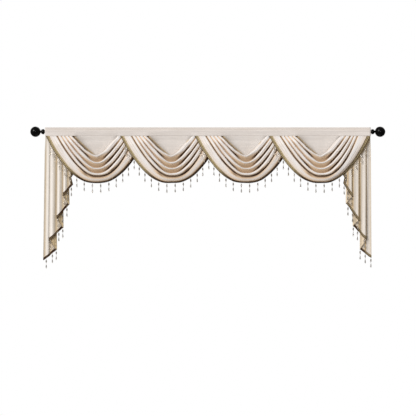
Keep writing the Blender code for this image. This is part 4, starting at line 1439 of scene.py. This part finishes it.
def add_valance():
    materials = cloth_materials()
    heading, stitches = add_heading(materials)
    panel = add_panel(materials)
    tails = {side: add_tail(side, materials) for side in TAILS}
    surfaces = [swag_surface(swag, at + 1) for at, swag in enumerate(SWAGS)]
    behind = [tails["left"], *(surface[0].reshape(-1, 3) for surface in surfaces)]
    for at, swag in enumerate(SWAGS):
        right_under = tails["right"] if at == len(SWAGS) - 1 else None
        add_swag(swag, at + 1, surfaces[at], behind[at], right_under, materials)


# ---- floor, light and camera

FLOOR_Z = -2.45
FLOOR_HALF = 1.6
# The light from all round: where it is strongest, and its strength there and opposite.
WORLD_FROM = (-0.50, -0.25, 0.83)
WORLD_LOW = 0.12
WORLD_HIGH = 0.54
WORLD_TINT = (1.0, 0.965, 0.92, 1.0)
# The photo's side in pixels, and the camera that shows it at the same scale.
IMAGE_SIDE = 416
METRES_PER_PIXEL = 0.00768
CAMERA_DISTANCE = 12.0
CAMERA_X = 0.0015
CAMERA_Z = -0.586
SENSOR = 36.0


def add_floor():
    mesh = bpy.data.meshes.new("floor")
    corners = [(-1, -1), (1, -1), (1, 1), (-1, 1)]
    points = [(FLOOR_HALF * x, FLOOR_HALF * y, FLOOR_Z) for x, y in corners]
    mesh.from_pydata(points, [], [(0, 1, 2, 3)])
    mesh.materials.append(floor_material())
    add_object("floor", mesh)


def add_sun(name, towards, strength, angle, colour=WHITE):
    """A far soft light that shines from the direction "towards"."""
    lamp = bpy.data.lights.new(name, "SUN")
    lamp.energy = strength
    lamp.angle = angle
    lamp.color = colour
    x, y, z = towards
    turn = (math.atan2(math.hypot(x, y), z), 0.0, math.atan2(x, -y))
    add_object(name, lamp).rotation_euler = turn


def add_world():
    """White behind everything, and a soft light from all round that is weaker from below."""
    world = bpy.data.worlds.new("studio")
    bpy.context.scene.world = world
    world.use_nodes = True
    nodes = Nodes(world.node_tree)
    shown = world.node_tree.nodes["Background"]
    nodes.join(shown, {"Color": (*WHITE, 1.0), "Strength": 1.0})
    place = nodes.add("ShaderNodeTexCoord").outputs["Generated"]
    facing = nodes.add("ShaderNodeVectorMath", {0: place, 1: WORLD_FROM}, operation="DOT_PRODUCT")
    strength = nodes.add("ShaderNodeMapRange", {
        "Value": facing.outputs["Value"], "From Min": -1.0, "From Max": 1.0,
        "To Min": WORLD_LOW, "To Max": WORLD_HIGH,
    }).outputs["Result"]
    light = nodes.add("ShaderNodeBackground", {"Color": WORLD_TINT, "Strength": strength})
    seen = nodes.add("ShaderNodeLightPath").outputs["Is Camera Ray"]
    either = nodes.add("ShaderNodeMixShader", {0: seen, 1: light.outputs[0], 2: shown.outputs[0]})
    nodes.join(world.node_tree.nodes["World Output"], {"Surface": either.outputs[0]})


def add_camera():
    camera = bpy.data.cameras.new("camera")
    camera.sensor_width = SENSOR
    camera.lens = SENSOR * CAMERA_DISTANCE / (IMAGE_SIDE * METRES_PER_PIXEL)
    camera.clip_end = 100.0
    shot = add_object("camera", camera)
    shot.location = (CAMERA_X, -CAMERA_DISTANCE, CAMERA_Z)
    shot.rotation_euler = (math.pi / 2.0, 0.0, 0.0)
    bpy.context.scene.camera = shot


def main():
    bpy.context.scene.view_settings.view_transform = "Standard"
    add_camera()
    add_world()
    add_sun("key", (-0.58, -0.73, 0.42), 2.68, 0.55, (1.0, 0.995, 0.985))
    add_sun("fill", (0.05, -1.0, 0.02), 0.26, 0.10)
    add_sun("back", (0.3, 0.8, 0.5), 0.8, 0.8)
    add_floor()
    add_pole()
    add_valance()


main()
